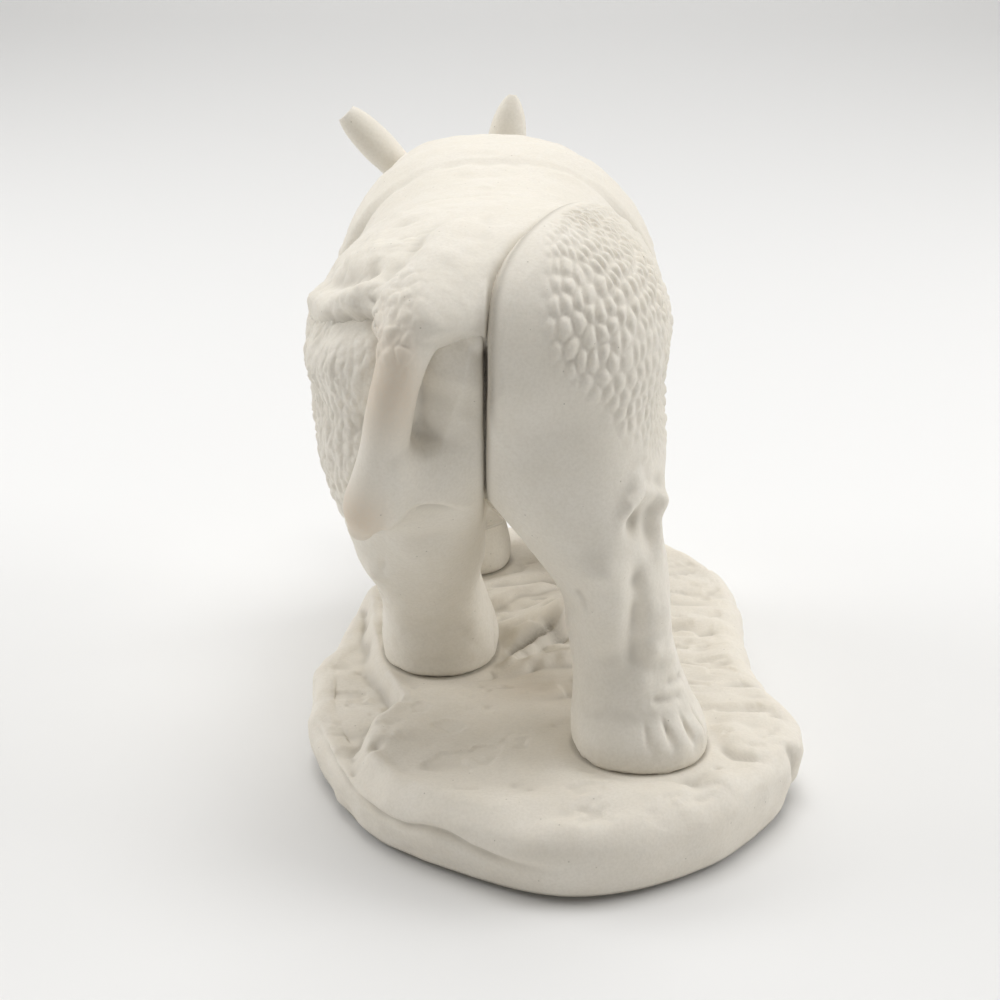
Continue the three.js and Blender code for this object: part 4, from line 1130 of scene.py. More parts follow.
@dataclass
class Tail(Casting):
    """A solid tail: a round form that tapers along a curve and ends in a flattened tuft on the left thigh."""

    trunk: Trunk
    thigh: Field
    root: Place = (2.0, 56.0, 130.0)
    # offsets from the root, and the radius there
    points: Array = table(
        [2, -10, -8, 8],
        [6, 10, 1.5, 8],
        [10.5, 25, 3, 7.4],
        [16, 34, -1, 7.0],
        [20.3, 37.5, -10.5, 6.5],
        [22.6, 37, -21, 6.3],
        [24.4, 34.5, -32, 6.4],
        [26.4, 31, -42, 7.2],
        [29.2, 27, -51, 7.0],
        [31.5, 23.5, -57.5, 3.8],
    )
    root_fillet: float = 20.0
    tuft_fillet: float = 20.0
    pieces: int = 30

    def melt(self, p: Points) -> Array:
        """Width of the fillet to the rump: the root melts in, and below it the tail hangs clear."""
        root_height = self.root[2]
        high = ease(root_height - 10.0, root_height + 3.0, p.z)
        return 0.1 + self.root_fillet * high * ease(38.0, 58.0, p.y)

    def cling(self, p: Points) -> Array:
        """Width of the fillet to the thigh: under the pit the tail is luted down, most on its inner side."""
        low = ease(105.0, 94.0, p.z) * ease(64.0, 74.0, p.z)
        return 0.1 + self.tuft_fillet * low * ease(32.0, 22.0, p.x)

    def curve(self, share: Array) -> Array:
        """The middle line's x, y, z and the radius, at a share of its length."""
        place = np.linspace(0.0, 1.0, len(self.points))
        return through(np.column_stack([place, self.points + np.array([*self.root, 0.0])]), share)

    def surface(self, p: Points) -> Array:
        """The distance to the nearest stretch of the middle line, less the radius there.

        Places that are far from the tail only get the distance to a ball about it.
        """
        line = self.curve(np.linspace(0.0, 1.0, self.pieces + 1)).T
        middle = line[:, :3].mean(axis=0)
        ball = np.max(np.linalg.norm(line[:, :3] - middle, axis=1)) + np.max(line[:, 3])
        q = p.moved(*middle)
        distance = np.sqrt(q.x**2 + q.y**2 + q.z**2) - ball
        close = distance < 26.0
        q = Points(p.x[close], p.y[close], p.z[close])
        nearest = np.full_like(q.x, FAR)
        share = np.zeros_like(q.x)
        for n, (a, b) in enumerate(zip(line, line[1:])):
            t, squared = to_segment(q, a[:3], b[:3])
            away = np.sqrt(squared) - (a[3] + (b[3] - a[3]) * t)
            share = np.where(away < nearest, (n + t) / self.pieces, share)
            nearest = np.minimum(nearest, away)
        near = nearest < 14.0
        nearest[near] = self.beside(Points(q.x[near], q.y[near], q.z[near]), share[near])
        distance[close] = nearest
        return distance

    def beside(self, q: Points, share: Array) -> Array:
        """The field close to the tail.

        Args:
            q: Places in one row.
            share: About where along the middle line each is nearest to it.

        Returns:
            The distance to the nearest point of the line, less the radius there. Two steps of Newton's method
            find it, where the line to the place is square to the curve.
        """
        step = 4e-3
        for _ in range(2):
            behind, here, ahead = (self.curve(np.clip(share + move, 0.0, 1.0)) for move in (-step, 0.0, step))
            way = (ahead - behind)[:3] / (2.0 * step)
            bend = (ahead + behind - 2.0 * here)[:3] / step**2
            off = np.stack([q.x, q.y, q.z]) - here[:3]
            speed = np.sum(way**2, axis=0)
            slope = np.maximum(speed - np.sum(off * bend, axis=0), 0.4 * speed)
            share = np.clip(share + np.sum(off * way, axis=0) / slope, 0.0, 1.0)
        x, y, z, radius = self.curve(share)
        return np.sqrt((q.x - x) ** 2 + (q.y - y) ** 2 + (q.z - z) ** 2) - radius

    def relief(self, p: Points) -> Array:
        """At its root the softness of the rump, and lower down that of the thigh, so that no seam shows."""
        root = ease(104.0, 118.0, p.z)
        soft = 0.12 * swells(p, 12.0, 51)
        return soft + worked(p, TAIL_MARKS) + root * (self.trunk.relief(p) - soft)

    def form(self, p: Points) -> Array:
        """The tail with its side of the fillet to the rump."""
        met = meet(self.surface(p), self.trunk.on_legs(p), self.melt(p))
        met = trim(met, -self.trunk.plate_region(p), 1.0) + self.trunk.channel(p)
        return meet(met, self.thigh(p), self.cling(p))

    def spine(self) -> Array:
        """The middle line."""
        return self.points[:-1, :3] + np.array(self.root)

    def soil_and_shade(self, p: Points) -> Array:
        """Painted shade, with soil, where the root stops at the channel."""
        return 0.75 * ridge(self.trunk.plate_region(p) - 0.6, 1.3)

    def tan(self, p: Points) -> Array:
        """Tan on the outside of the bend and on the tuft's tip: a warm stain that also paints the shade
        there.
        """
        bend = ridge(p.z - 118.0, 14.0) * ease(13.0, 21.0, p.x)
        tip = ridge(p.z - 78.0, 9.0) * ease(22.0, 33.0, p.x)
        return 0.6 * bend + 0.65 * tip


@dataclass
class Ear(Casting):
    """A rolled leaf on a short stalk, open along its front: a surface of height and turn."""

    head: Head
    root: Place
    tip: Place
    # share of the height, and the half width there
    widths: Array
    facing: Place
    bend: Place = (0.0, 0.0, 0.0)
    flatness: float = 0.7
    wall: float = 1.8
    cut: float = 0.3

    def form(self, p: Points) -> Array:
        """Not cast from a field."""
        return p.x

    def spine(self) -> Array:
        """Root and tip."""
        return np.array([self.head.point(*self.root), self.head.point(*self.tip)])

    def skin(self) -> Skin:
        """The ear's outside from the stalk to the rim, and its inside from the rim down to the roll's bottom.

        At height t the outside is an ellipse of the stations' half width. The opening's side is lower, by the
        square of the cosine of the turn. The inside is the same with the wall taken off.
        """
        root, tip = self.spine()
        axis = tip - root
        axis /= np.linalg.norm(axis)
        front = self.head.way(*self.facing)
        front -= axis * (front @ axis)
        front /= np.linalg.norm(front)
        side = np.cross(axis, front)
        depth = np.linspace(0.0, 1.0, self.grid.last_fan)
        outside = np.linspace(0.0, 1.0, self.grid.rows)
        t = np.concatenate([outside, 0.985 - 0.565 * depth])[:, None]
        inset = np.concatenate([0.0 * outside, self.wall * (0.3 + 0.7 * ease(0.0, 0.35, depth))])[:, None]
        turn = self.grid.turns()[None, :]
        width = through(self.widths, t[:, 0])[0][:, None] - inset
        opening = np.maximum(0.0, np.cos(turn)) ** 2
        share = t * (1.0 - self.cut * opening * ease(0.35, 1.0, t))
        middle = root + (tip - root) * share[..., None]
        middle = middle + self.head.way(*self.bend) * (4.0 * share * (1.0 - share))[..., None]
        behind, beside = self.flatness * width * np.cos(turn), width * np.sin(turn)
        place = middle + front * behind[..., None] + side * beside[..., None]
        ends = np.stack([root - axis, root + (tip - root) * 0.36])
        return Skin(Points(*np.moveaxis(place, -1, 0)), Points(*ends.T))


@dataclass
class Horn(Casting):
    """The single horn: a cone that leans back, round in section, with growth rings at its foot."""

    head: Head
    foot: Place = (57.0, 0.0, -14.0)
    lean: float = 6.0
    height: float = 21.0
    radius: float = 7.0

    def form(self, p: Points) -> Array:
        """Not cast from a field."""
        return p.x

    def spine(self) -> Array:
        """Foot and tip."""
        s, t, w = self.foot
        return np.array([self.head.point(s, t, w), self.head.point(s - self.lean, t, w + self.height)])

    def skin(self) -> Skin:
        """A circle of radius r · (1 − t)^0.75 at height t, on a line that leans back by the square of t."""
        t = np.linspace(0.0, 1.0, self.grid.rows, endpoint=False)[:, None]
        turn = self.grid.turns()[None, :]
        rings = 0.18 * np.sin(46.0 * t) * ease(0.75, 0.1, t)
        flutes = 0.12 * np.sin(11.0 * turn + 3.0 * t) * ease(0.9, 0.2, t)
        radius = self.radius * (1.0 - t) ** 0.75 + rings + flutes
        s = self.foot[0] - self.lean * t * t + 1.15 * radius * np.cos(turn)
        w = self.foot[2] + self.height * t + 0.0 * turn
        place = self.head.point(s, radius * np.sin(turn), w)
        return Skin(Points(*np.moveaxis(place, -1, 0)), Points(*self.spine().T))


@dataclass(frozen=True)
class Crest:
    """A crest of rock that falls from its start to its end, steep on its left and gentle on its right."""

    start: tuple[float, float]
    end: tuple[float, float]
    height: float
    steep: float
    gentle: float

    def on(self, x: Array, y: Array) -> Array:
        """Height of the crest: a soft step up its steep side and down the gentle one, falling to its end."""
        run = np.array(self.end) - np.array(self.start)
        length = np.hypot(*run)
        along = ((x - self.start[0]) * run[0] + (y - self.start[1]) * run[1]) / length**2
        across = ((y - self.start[1]) * run[0] - (x - self.start[0]) * run[1]) / length
        flat = Points(x, y, 0.0 * x)
        across = across + 2.4 * swell(flat, 13.0, 101) + 0.9 * swell(flat, 5.0, 103)
        fall = ease(1.08, 0.4, along) * ease(-0.25, 0.1, along)
        return self.height * ease(self.steep, 0.0, across) * ease(-self.gentle, 0.0, across) * fall


# The valley under the highest crest
VALLEY = Crease(((-25, -16, 0), (-18, -8.5, 0), (-12, -2, 0), (-6, 4, 0)), 3.4, 4.6)
# Crests beside it, and the chips and swellings of the slab's edge and the rim
PLINTH_MARKS: Marks = (
    Lump((-23.5, -20, 0), (4, 5, 9), 1.6),
    Crease(((-30, -5, 0), (-17, -1.2, 0), (-9, 6.5, 0), (-3, 13, 0)), 2.6, -2.2),
    Crease(((-24, 8, 0), (-17, 10, 0), (-12, 15, 0)), 1.6, 1.2),
    Crease(((22, 35, 0), (28, 38, 0), (33, 46, 0)), 1.8, 1.6),
    Lump((31, 36, 0), (4, 4, 9), 1.0),
    Crease(((30, 66, 0), (34, 70, 0), (38, 72, 0)), 1.6, 1.8),
    Lump((30, 82, 0), (3, 3, 9), -1.2),
    Lump((29, 62, 0), (5, 6, 9), 1.4),
    Lump((8, 100, 0), (14, 8, 9), 1.0),
    Lump((-20, 106, 0), (12, 5, 9), -0.8),
    Lump((-45, 100, 0), (10, 6, 9), 0.9),
    Lump((-58, 92, 0), (4, 10, 9), -1.0),
    Lump((-66, 88, 0), (5, 12, 9), 1.0),
    Crease(((-52, 101, 0), (-58, 98, 0), (-64, 92, 0)), 2.0, 0.9),
    Lump((-72, 60, 0), (5, 9, 9), 1.6),
    Crease(((-66, 66, 0), (-71, 72, 0), (-78, 74, 0)), 1.8, 1.4),
    Lump((-69, -26, 0), (5, 8, 9), 1.2),
    Lump((-74, -2, 0), (5, 9, 9), 1.2),
    Crease(((-58, 4, 0), (-68, 8, 0), (-78, 6, 0)), 1.6, 1.0),
    Crease(((-58, 20, 0), (-68, 25, 0), (-80, 24, 0)), 1.6, 0.9),
    Crease(((-56, -16, 0), (-66, -14, 0), (-76, -18, 0)), 1.4, 0.8),
)


@dataclass
class Plinth(Casting):
    """The cast rock: an open shell on a foot rim, with strata, ledges and hollows on its walked-on face."""

    # ellipses of the soles: x and y of the middle, and the half sizes along them
    soles: list[tuple[float, float, float, float]]
    half_width: float = 73.0
    half_length: float = 115.0
    middle_x: float = -19.0
    undercut: float = 4.0
    foot: float = 7.0
    wall: float = 5.0
    rim_rounding: float = 8.0
    foot_turn: float = 7.0
    shelf_drop: float = 6.0
    # turn in degrees from +X towards +Y, and the radius as a share of the ellipse
    outline: Array = table(
        [0, 1.0], [20, 1.03], [42, 1.02], [58, 1.01], [77, 0.975], [92, 1.015], [107, 1.04], [122, 1.08],
        [140, 1.11], [150, 1.07], [160, 0.96], [175, 0.89], [198, 0.9], [212, 0.97], [228, 1.05], [244, 1.06],
        [268, 1.03], [285, 1.02], [305, 0.98], [325, 0.97], [345, 0.95], [360, 1.0],
    )
    crests: tuple[Crest, ...] = (
        Crest((-33.0, -28.0), (-5.0, 9.0), 8.5, 3.0, 22.0),
        Crest((-36.0, 0.0), (-1.0, 17.0), 4.5, 3.4, 9.0),
        Crest((-36.0, 18.0), (-10.0, 33.0), 2.6, 4.0, 9.0),
        Crest((-20.0, -52.0), (10.0, -30.0), 3.0, 4.0, 10.0),
        Crest((-24.0, -70.0), (8.0, -50.0), 2.5, 4.0, 10.0),
    )
    # y, and the x of the slab's edge there, left of which lies the lower shelf
    slab: Array = table(
        [-120, 60], [-70, 48], [-45, 40], [-20, 38], [8, 33], [24, 29], [34, 26], [41, 30.5], [50, 34],
        [63, 35.5], [70, 36], [76, 33], [86, 28.5], [97, 24.5], [104, 15], [112, 9], [124, 4], [135, -4],
    )
    # turn in degrees, and the height of the line under the slab's overhang there
    overhang: Array = table(
        [20, -7], [40, -7], [50, -8], [58, -10], [66, -10.5], [70, -8.5], [74, -8.5], [79, -11], [84, -12],
        [95, -12],
    )

    def form(self, p: Points) -> Array:
        """Not cast from a field."""
        return p.x

    def spine(self) -> Array:
        """The upright through the plinth's middle."""
        return np.array([[self.middle_x, 0.0, 0.0], [self.middle_x, 0.0, -PLINTH_HEIGHT]])

    def radius(self, turn: Array) -> Array:
        """Distance from the middle to the widest line at each turn."""
        share = through(self.outline, np.degrees(turn) % 360.0)[0]
        return share / np.hypot(np.cos(turn) / self.half_width, np.sin(turn) / self.half_length)

    def off_soles(self, x: Array, y: Array) -> list[Array]:
        """For each sole, how far outside its ellipse each place lies."""
        return [(np.hypot((x - sole_x) / half_x, (y - sole_y) / half_y) - 1.0) * half_x
                for sole_x, sole_y, half_x, half_y in self.soles]

    def height(self, x: Array, y: Array) -> Array:
        """Height of the rock over the walked-on face. It is level under each sole."""
        p = Points(x, y, np.zeros_like(x))
        shelf = x - through(self.slab, y)[0] + 0.8 * swell(p, 6.0, 95)
        drop = self.shelf_drop * ease(-1.6, 2.2, shelf) - 0.9 * ridge(shelf + 3.0, 2.6)
        crest = sum(one.on(x, y) for one in self.crests)
        layers = np.sin((y + 0.3 * x + 3.0 * swell(p, 19.0, 93)) / 1.9)
        strata = 0.28 * layers * ease(-34.0, -48.0, x) * ease(70.0, 40.0, y)
        calm = 1.0 - 0.6 * ridge((y - 62.0) / 34.0, 1.0) * ridge((x + 2.0) / 34.0, 1.0)
        rough = 1.2 * swells(Points(x * 0.8, y * 1.15, p.z), 18.0, 91)
        scars = 0.7 * ease(0.25, 0.7, swells(Points(x, y * 1.5, p.z), 10.0, 97))
        height = crest - drop + calm * (rough - scars) + strata + VALLEY.on(p) + worked(p, PLINTH_MARKS)
        for away in self.off_soles(x, y):
            height = height * ease(1.0, 7.0, away)
        return height

    def soil_and_shade(self, p: Points) -> Array:
        """Painted shade: a contact shadow along the foot, and shade round the soles and in the valley."""
        shade_round_soles = ease(-4.0, -1.0, p.z) * ease(1.6, 0.2, np.min(self.off_soles(p.x, p.y), axis=0))
        valley = -VALLEY.on(Points(p.x, p.y, 0.0 * p.z)) / VALLEY.depth * ease(-6.0, -3.0, p.z)
        return ease(-20.8, -22.4, p.z) + 0.6 * shade_round_soles + 0.8 * valley

    def tan(self, p: Points) -> Array:
        """A stain on the flat before the crests."""
        return 0.3 * ridge(p.x + 13.0, 13.0) * ridge(p.y - 27.0, 11.0)

    def weathered(self, band: Points, turn: Array, down: Array) -> Points:
        """Moves a band in and out: swells, the near left slab's overhang, and the crease at the right rear.

        Args:
            band: Rings of the rim or of the side.
            turn: Turn of each place.
            down: Share of the way from the rim to the foot, where the movement fades out.

        Returns:
            The band with its places moved along their radii.
        """
        angle = np.degrees(turn) % 360.0
        line = through(self.overhang, np.clip(angle, 20.0, 95.0))[0]
        sector = ease(22.0, 40.0, angle) * ease(92.0, 80.0, angle)
        lip = 1.6 * ease(line - 0.6, line + 2.2, band.z) - 1.3 * ridge(band.z - line + 0.6, 1.5)
        lap = angle - 137.0 + 0.25 * band.z
        crease = 1.8 * ease(0.0, 5.0, lap) * ease(26.0, 10.0, lap) - 1.5 * ridge(lap, 1.6)
        calm = 1.0 - 0.7 * ridge(angle - 100.0, 28.0)
        lumps = 1.3 * swells(Points(band.x, band.y, band.z * 1.3), 17.0, 99) * calm
        move = (sector * lip + crease * ease(0.95, 0.6, down) + lumps) * ease(1.0, 0.75, down)
        scale = 1.0 + move * ease(-0.5, -5.0, band.z) / np.hypot(band.x - self.middle_x, band.y)
        return Points(self.middle_x + (band.x - self.middle_x) * scale, band.y * scale, band.z)

    def skin(self) -> Skin:
        """Rings from the top's middle over the rim, down the side, under the foot and up to the ceiling."""
        turn = self.grid.turns()[None, :]
        widest = self.radius(turn)

        def ring(radius: Array, z: Array | float = 0.0) -> Points:
            """Rings of one or more radii."""
            x, y = self.middle_x + radius * np.cos(turn), radius * np.sin(turn)
            return Points(x, y, z + 0.0 * x)

        inner = widest - self.rim_rounding
        top = ring(inner * np.linspace(1.0 / self.grid.rows, 1.0, self.grid.rows)[:, None])
        top = Points(top.x, top.y, self.height(top.x, top.y))
        bend = np.radians(np.linspace(4.0, 88.0, self.grid.first_fan))[:, None]
        rim = ring(widest - self.rim_rounding * (1.0 - np.sin(bend)))
        settle, fall = 1.0 - 0.6 * np.sin(bend), self.rim_rounding * (1.0 - np.cos(bend))
        rim = Points(rim.x, rim.y, self.height(rim.x, rim.y) * settle - fall)
        down = np.linspace(0.0, 1.0, self.grid.last_fan)[1:, None]
        start = rim.z[-1:]
        turned_in = self.undercut * down**1.8 + self.foot_turn * ease(0.885, 0.92, down)
        side = ring(widest - turned_in, start + (-PLINTH_HEIGHT - start) * down)
        rim, side = self.weathered(rim, turn, 0.0 * bend), self.weathered(side, turn, down)
        within = self.wall + 3.0
        ceiling = -self.wall - self.shelf_drop - 1.0
        under = [
            ring(widest - self.undercut - self.foot - 1.0, -PLINTH_HEIGHT),
            ring(widest - self.undercut - within, -PLINTH_HEIGHT * 0.7),
            *(ring((inner - within) * share, ceiling) for share in (1.0, 0.66, 0.33)),
        ]
        rows = Points(*(np.concatenate(axis) for axis in zip(top, rim, side, *under)))
        middle = np.array([self.middle_x, self.middle_x]), np.zeros(2)
        crown = self.height(np.array([self.middle_x]), np.array([0.0]))[0]
        return Skin(rows, Points(*middle, np.array([crown, ceiling])))


# Tendon of the heel, the cuts and hollows beside it, the hooded fold of the knee, and the nails with creases
HIND_RIGHT_MARKS: Marks = (
    Crease(((-33, 84, 66), (-33, 83, 54), (-32.5, 79, 42), (-32.5, 76, 30)), 6.0, -1.6),
    Lump((-32, 84, 61), (6, 6, 5), 1.0),
    Crease(((-24.5, 80, 55), (-26.5, 79.5, 51), (-28, 78, 46)), 1.6, 0.8),
    Lump((-41.5, 80, 57), (3, 7, 5), -2.0),
    Lump((-42, 79, 46), (3.2, 7, 7), -2.3),
    Lump((-41.5, 77, 35), (3, 7, 6), -1.5),
    Crease(((-38, 83, 74), (-40, 82, 79), (-44, 78, 81.5), (-48.5, 69, 78), (-50, 61, 70)), 2.7, -3.2),
    Lump((-41.5, 81, 73.5), (3.2, 6, 4.2), -4.0),
    Lump((-46, 74, 70), (3.2, 6, 7), -2.2),
    Crease(((-50, 30, 96), (-50.5, 46, 88), (-50, 60, 80), (-48.5, 68, 70), (-49, 68, 60)), 4.0, -2.2),
    Lump((-42, 80, 86), (3, 4, 2.6), 1.3),
    Lump((-46.5, 73, 85), (2.6, 4, 2.6), 1.5),
    Lump((-49, 66, 84), (2.4, 4, 2.6), 1.2),
    Lump((-44.5, 76, 91), (2.6, 4, 2.2), 0.8),
    Lump((-48, 70, 62), (3, 5, 4), 0.9),
    Lump((-49, 70, 44), (2.5, 4, 4), 1.0),
    Lump((-47, 74, 33), (3, 4, 3), 0.9),
    Lump((-51, 68, 29), (3, 4, 3), 0.9),
    Lump((-44, 77, 25), (3, 4, 3), 0.7),
    Crease(((-46, 78, 19.5), (-51, 75, 18.5), (-56, 70, 18)), 1.4, 0.8),
    Crease(((-50, 74, 23), (-54, 69, 22), (-57, 63, 22)), 1.4, 0.7),
    Crease(((-49.5, 79.5, 16), (-51.5, 81, 11), (-52, 82, 6)), 1.0, 1.4),
    Crease(((-55, 75.5, 16), (-57.2, 77.5, 11), (-58, 78.5, 6)), 1.0, 1.5),
    Crease(((-59, 70, 15), (-61.5, 71.5, 10), (-62, 72, 6)), 1.0, 1.3),
    Crease(((-44.5, 81, 15), (-45.5, 83, 10), (-46, 84, 7)), 1.0, 0.8),
    Lump((-54.5, 79, 9), (2.3, 3, 4), 1.0),
    Lump((-60, 74.5, 9), (2.2, 3, 4), 1.0),
    Lump((-48.5, 82, 9), (2.3, 3, 4), 0.8),
    Crease(((-51, 40, 92), (-51, 52, 86), (-50, 62, 80)), 2.2, 1.4),
    Crease(((-50.5, 62, 104), (-50, 66, 96), (-49, 70, 90)), 1.2, 0.7),
    Crease(((-51, 54, 104), (-51, 58, 95), (-50, 63, 88)), 1.2, 0.7),
)
# Hollow under the ledge, the cut on the calf, and creases of the ankle
HIND_LEFT_MARKS: Marks = (
    Lump((16, 68, 62), (8, 9, 5), -2.0),
    Crease(((28.5, 71, 66), (29.8, 58, 55), (30.2, 46, 45)), 1.3, 1.5),
    Lump((25, 66, 58), (4, 7, 6), 1.2),
    Crease(((31, 27, 24), (30.5, 30, 18), (31, 27, 12)), 1.2, 1.0),
    Crease(((32, 22, 30), (32, 26, 22)), 1.2, 0.8),
    Lump((33, 40, 42), (2.5, 5, 4), 0.8),
    Lump((2, 24, 20), (4, 6, 5), 1.0),
    Crease(((-3, 0, 14), (-3, 5, 9), (-2, 8, 4)), 1.2, 0.9),
)
HIND_RIGHT = np.array([
    [0, -63.5, -25, 85, 43, 2.3],
    [7, -63, -24.5, 84.5, 42.5, 2.4],
    [16, -58.5, -25, 79, 42, 2.4],
    [31, -53.5, -23.5, 76, 40, 2.4],
    [47, -52.5, -20.5, 80, 30, 2.4],
    [63, -50, -8.5, 84, 10, 2.4],
    [79, -49, 4, 87, -4, 2.5],
    [98, -48, 12, 89, -2, 2.6],
    [116, -47, 14, 88, 2, 2.6],
], dtype=float)
HIND_LEFT = np.array([
    [0, 32.5, -3, 20, -26, 2.3],
    [7, 33, -3.5, 21, -26, 2.4],
    [20, 32.5, 0, 25, -18, 2.4],
    [31, 34, 2, 34, -12, 2.4],
    [43, 38.5, 0.5, 46, -8, 2.4],
    [57, 41, 0, 62, -12, 2.4],
    [73, 44.5, -4, 79, -12, 2.5],
    [90, 47.5, -10, 85, -8, 2.6],
    [108, 45.5, -14, 84, -2, 2.6],
], dtype=float)
FRONT_LEFT = np.array([
    [0, 26.5, -7.5, -62, -99, 2.3],
    [7, 27, -7.5, -61.5, -99, 2.4],
    [20, 24.5, -4.5, -66, -96, 2.4],
    [38, 27, -3, -63, -96, 2.4],
    [54, 36, -1, -54, -94, 2.4],
    [70, 43, 5, -42, -93, 2.4],
    [90, 45, 12, -38, -92, 2.5],
], dtype=float)
FRONT_RIGHT = np.array([
    [0, -53, -19, -72, -108, 2.3],
    [7, -53.5, -19, -71, -108, 2.4],
    [20, -50, -21, -74, -102, 2.4],
    [38, -49, -20, -66, -98, 2.4],
    [54, -50, -15, -54, -95, 2.4],
    [70, -53, -11, -42, -94, 2.4],
    [90, -53.5, -14, -38, -92, 2.5],
], dtype=float)


@dataclass(frozen=True)
class Softbox:
    """A square softbox, placed in metres in the part's frame."""

    name: str
    at: Place
    towards: Place
    size: float
    power: float

    def build(self) -> None:
        """Hangs the softbox and aims it."""
        data = bpy.data.lights.new(self.name, "AREA")
        data.size = self.size
        data.energy = self.power
        light = bpy.data.objects.new(self.name, data)
        light.location = self.at
        light.rotation_euler = (Vector(self.at) - Vector(self.towards)).to_track_quat("Z", "Y").to_euler()
        bpy.context.scene.collection.objects.link(light)


@dataclass
class Studio:
    """Pale floor and backdrop, soft light from above and all round, and the camera behind the animal."""

    camera_at: Place = (-4.0, 637.0, 283.0)
    camera_pitch: float = 20.0
    focal_pixels: float = 2200.0
    picture_width: float = 1000.0
    sensor_width: float = 36.0
    floor_paper: Colour = (0.82, 0.82, 0.8159, 1.0)
    floor_size: float = 3.0
    sky: Colour = (0.96, 0.94, 0.91, 1.0)
    sky_strength: float = 0.36
    softboxes: tuple[Softbox, ...] = (
        Softbox("top_softbox", (-0.05, -0.04, 1.3), (0.0, 0.0, 0.05), 0.8, 7.6),
        Softbox("left_softbox", (1.2, -0.3, 0.7), (0.0, 0.0, 0.05), 0.8, 6.8),
        Softbox("right_softbox", (-1.25, -0.15, 0.7), (0.0, 0.0, 0.05), 0.8, 7.4),
        Softbox("far_softbox", (0.0, -1.5, 1.1), (0.0, -1.2, 0.0), 1.4, 5.2),
    )

    def build(self, shift: Array) -> None:
        """Makes the floor, the camera, the lights and the world."""
        self.floor()
        self.camera(shift)
        for softbox in self.softboxes:
            softbox.build()
        world = bpy.data.worlds.new("studio")
        world.use_nodes = True
        back = world.node_tree.nodes["Background"]
        back.inputs["Color"].default_value = self.sky
        back.inputs["Strength"].default_value = self.sky_strength
        bpy.context.scene.world = world
        bpy.context.scene.view_settings.view_transform = "Standard"

    def floor(self) -> None:
        """A sheet that is level under the figure, bends up behind it by a quarter circle and ends upright."""
        run = np.linspace(0.0, 1.0, 60)
        stretches = ((0.0, 0.55), (0.55, 0.2), (0.75, 0.25))
        level, bent, upright = (np.clip((run - start) / length, 0.0, 1.0) for start, length in stretches)
        turn = bent * np.pi / 2.0
        across = np.linspace(-self.floor_size, self.floor_size, 3)[None, :]
        y, z = 1.6 - 3.2 * level - 0.6 * np.sin(turn), 0.6 * (1.0 - np.cos(turn)) + 2.0 * upright
        places = np.stack(np.broadcast_arrays(across, y[:, None], z[:, None]), axis=-1).reshape(-1, 3)
        index = np.arange(len(places)).reshape(-1, 3)
        quads = np.stack([index[:-1, :-1], index[1:, :-1], index[1:, 1:], index[:-1, 1:]], axis=-1)
        mesh = bpy.data.meshes.new("floor")
        mesh.from_pydata(places.tolist(), [], quads.reshape(-1, 4).tolist())
        mesh.polygons.foreach_set("use_smooth", np.ones(len(mesh.polygons), dtype=bool))
        recipe = Recipe("floor_paper")
        paper = {"Base Color": self.floor_paper, "Roughness": 0.9}
        mesh.materials.append(recipe.finish(recipe.node("ShaderNodeBsdfPrincipled", {}, paper)))
        floor = bpy.data.objects.new("floor", mesh)
        bpy.context.scene.collection.objects.link(floor)

    def camera(self, shift: Array) -> None:
        """The camera at the photograph's viewing angle."""
        data = bpy.data.cameras.new("camera")
        data.sensor_width = self.sensor_width
        data.lens = self.sensor_width * self.focal_pixels / self.picture_width
        camera = bpy.data.objects.new("camera", data)
        camera.location = (np.array(self.camera_at) + shift) * METRES
        camera.rotation_euler = (np.radians(90.0 - self.camera_pitch), 0.0, np.pi)
        bpy.context.scene.collection.objects.link(camera)
        bpy.context.scene.camera = camera


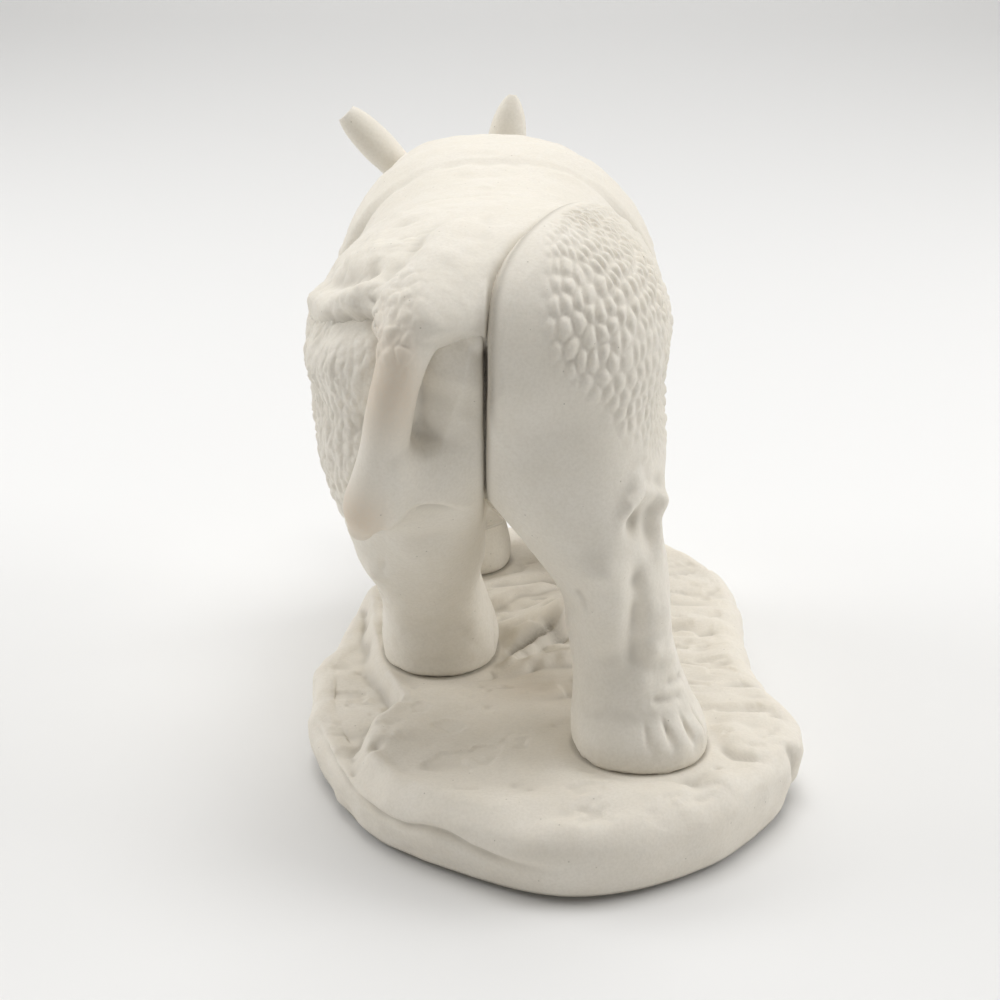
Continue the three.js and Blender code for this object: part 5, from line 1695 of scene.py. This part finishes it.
@dataclass(frozen=True)
class Rhinoceros:
    """The whole figure, with the slots of its finishes."""

    hide: str = "bisque_hide"
    smooth: str = "bisque_smooth"
    rock: str = "bisque_rock"

    def legs(self, trunk: Trunk) -> list[Leg]:
        """The hind legs, whose grids are finest towards their plates' edges, and the front legs."""
        right = HindLeg("leg_hind_right", self.hide, Grid(135, 110, 26, 360, focus=228.0, bias=0.4),
                        Side.RIGHT, HIND_RIGHT, BACK_HEIGHT - 3.0, trunk, marks=HIND_RIGHT_MARKS)
        left = HindLeg("leg_hind_left", self.hide, Grid(165, 80, 26, 360, focus=300.0, bias=0.35), Side.LEFT,
                       HIND_LEFT, BACK_HEIGHT - 17.0, trunk, marks=HIND_LEFT_MARKS, plate_proud=1.2,
                       plate_rounding=3.0)
        front = [
            Leg(f"leg_front_{side.name.lower()}", self.hide, Grid(130, 20, 22, 180), side, stations,
                BACK_HEIGHT - 33.0, trunk)
            for side, stations in ((Side.LEFT, FRONT_LEFT), (Side.RIGHT, FRONT_RIGHT))
        ]
        return [right, left, *front]

    def ears(self, head: Head) -> list[Ear]:
        """The left ear, which is turned back and bent, and the right one, which stands up."""
        grid = Grid(90, 0, 50, 96)
        left_widths = np.array([[0, 5.6], [0.3, 5.4], [0.55, 5.9], [0.8, 5.4], [0.94, 4.3], [1, 3.3]])
        right_widths = np.array([[0, 6], [0.3, 6.9], [0.55, 6.3], [0.78, 4.8], [0.93, 2.8], [1, 1.2]])
        left = Ear("ear_left", self.smooth, grid, head, (2.4, 15.3, -3.2), (-7.0, 37.1, 19.6), left_widths,
                   facing=(0.5, 0.3, 0.7), bend=(0.0, -0.8, -1.0), flatness=0.86)
        right = Ear("ear_right", self.smooth, grid, head, (2.8, -17.9, -1.7), (-11.9, -21.8, 20.4),
                    right_widths, facing=(0.6, -0.3, 0.7))
        return [left, right]

    def castings(self) -> list[Casting]:
        """Makes the castings, plinth first, and introduces neighbours to each other."""
        trunk = Trunk("body", self.hide, Grid(200, 90, 18, 320))
        legs = self.legs(trunk)
        hind_right, hind_left, *_ = legs
        trunk.shafts = [leg.shaft for leg in legs]
        trunk.plate_region = hind_right.region
        head = Head("head", self.hide, Grid(150, 36, 40, 240, reach=90.0), trunk)
        tail = Tail("tail", self.smooth, Grid(240, 30, 24, 130, reach=30.0), trunk, hind_left.surface)
        hind_left.neighbours = [(tail.surface, tail.cling)]
        trunk.neighbours = [(head.surface, head.melt), (tail.surface, tail.melt)]
        horn = Horn("horn", self.smooth, Grid(90, 0, 0, 96), head)
        plinth_grid = Grid(140, 26, 40, 470, focus=90.0, bias=0.4)
        plinth = Plinth("plinth", self.rock, plinth_grid, [leg.sole() for leg in legs])
        return [plinth, trunk, head, horn, *self.ears(head), tail, *legs]


def main() -> None:
    """Builds and dresses the figure, then the studio, and keeps the sizes of both models."""
    logging.basicConfig(level=logging.INFO, format="%(message)s")
    low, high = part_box("plinth")
    middle = (np.array(low) + np.array(high)) / 2.0 / METRES
    shift = np.array([middle[0] - PLINTH_BOX_MIDDLE[0], middle[1] - PLINTH_BOX_MIDDLE[1], PLINTH_HEIGHT])
    finishes = {
        "bisque_hide": Biscuit("bisque_hide").material(),
        "bisque_smooth": Biscuit("bisque_smooth", roughness=0.55, grain_depth=0.06).material(),
        "bisque_rock": Biscuit("bisque_rock", clay=(0.80, 0.75, 0.66, 1.0), grain_depth=0.14).material(),
    }
    for casting in Rhinoceros().castings():
        piece = casting.build(shift)
        casting.dress(piece, finishes[casting.slot])
        log.info("%s: %d faces", piece.name, len(piece.data.polygons))
    Studio().build(shift)


if __name__ == "__main__":
    main()
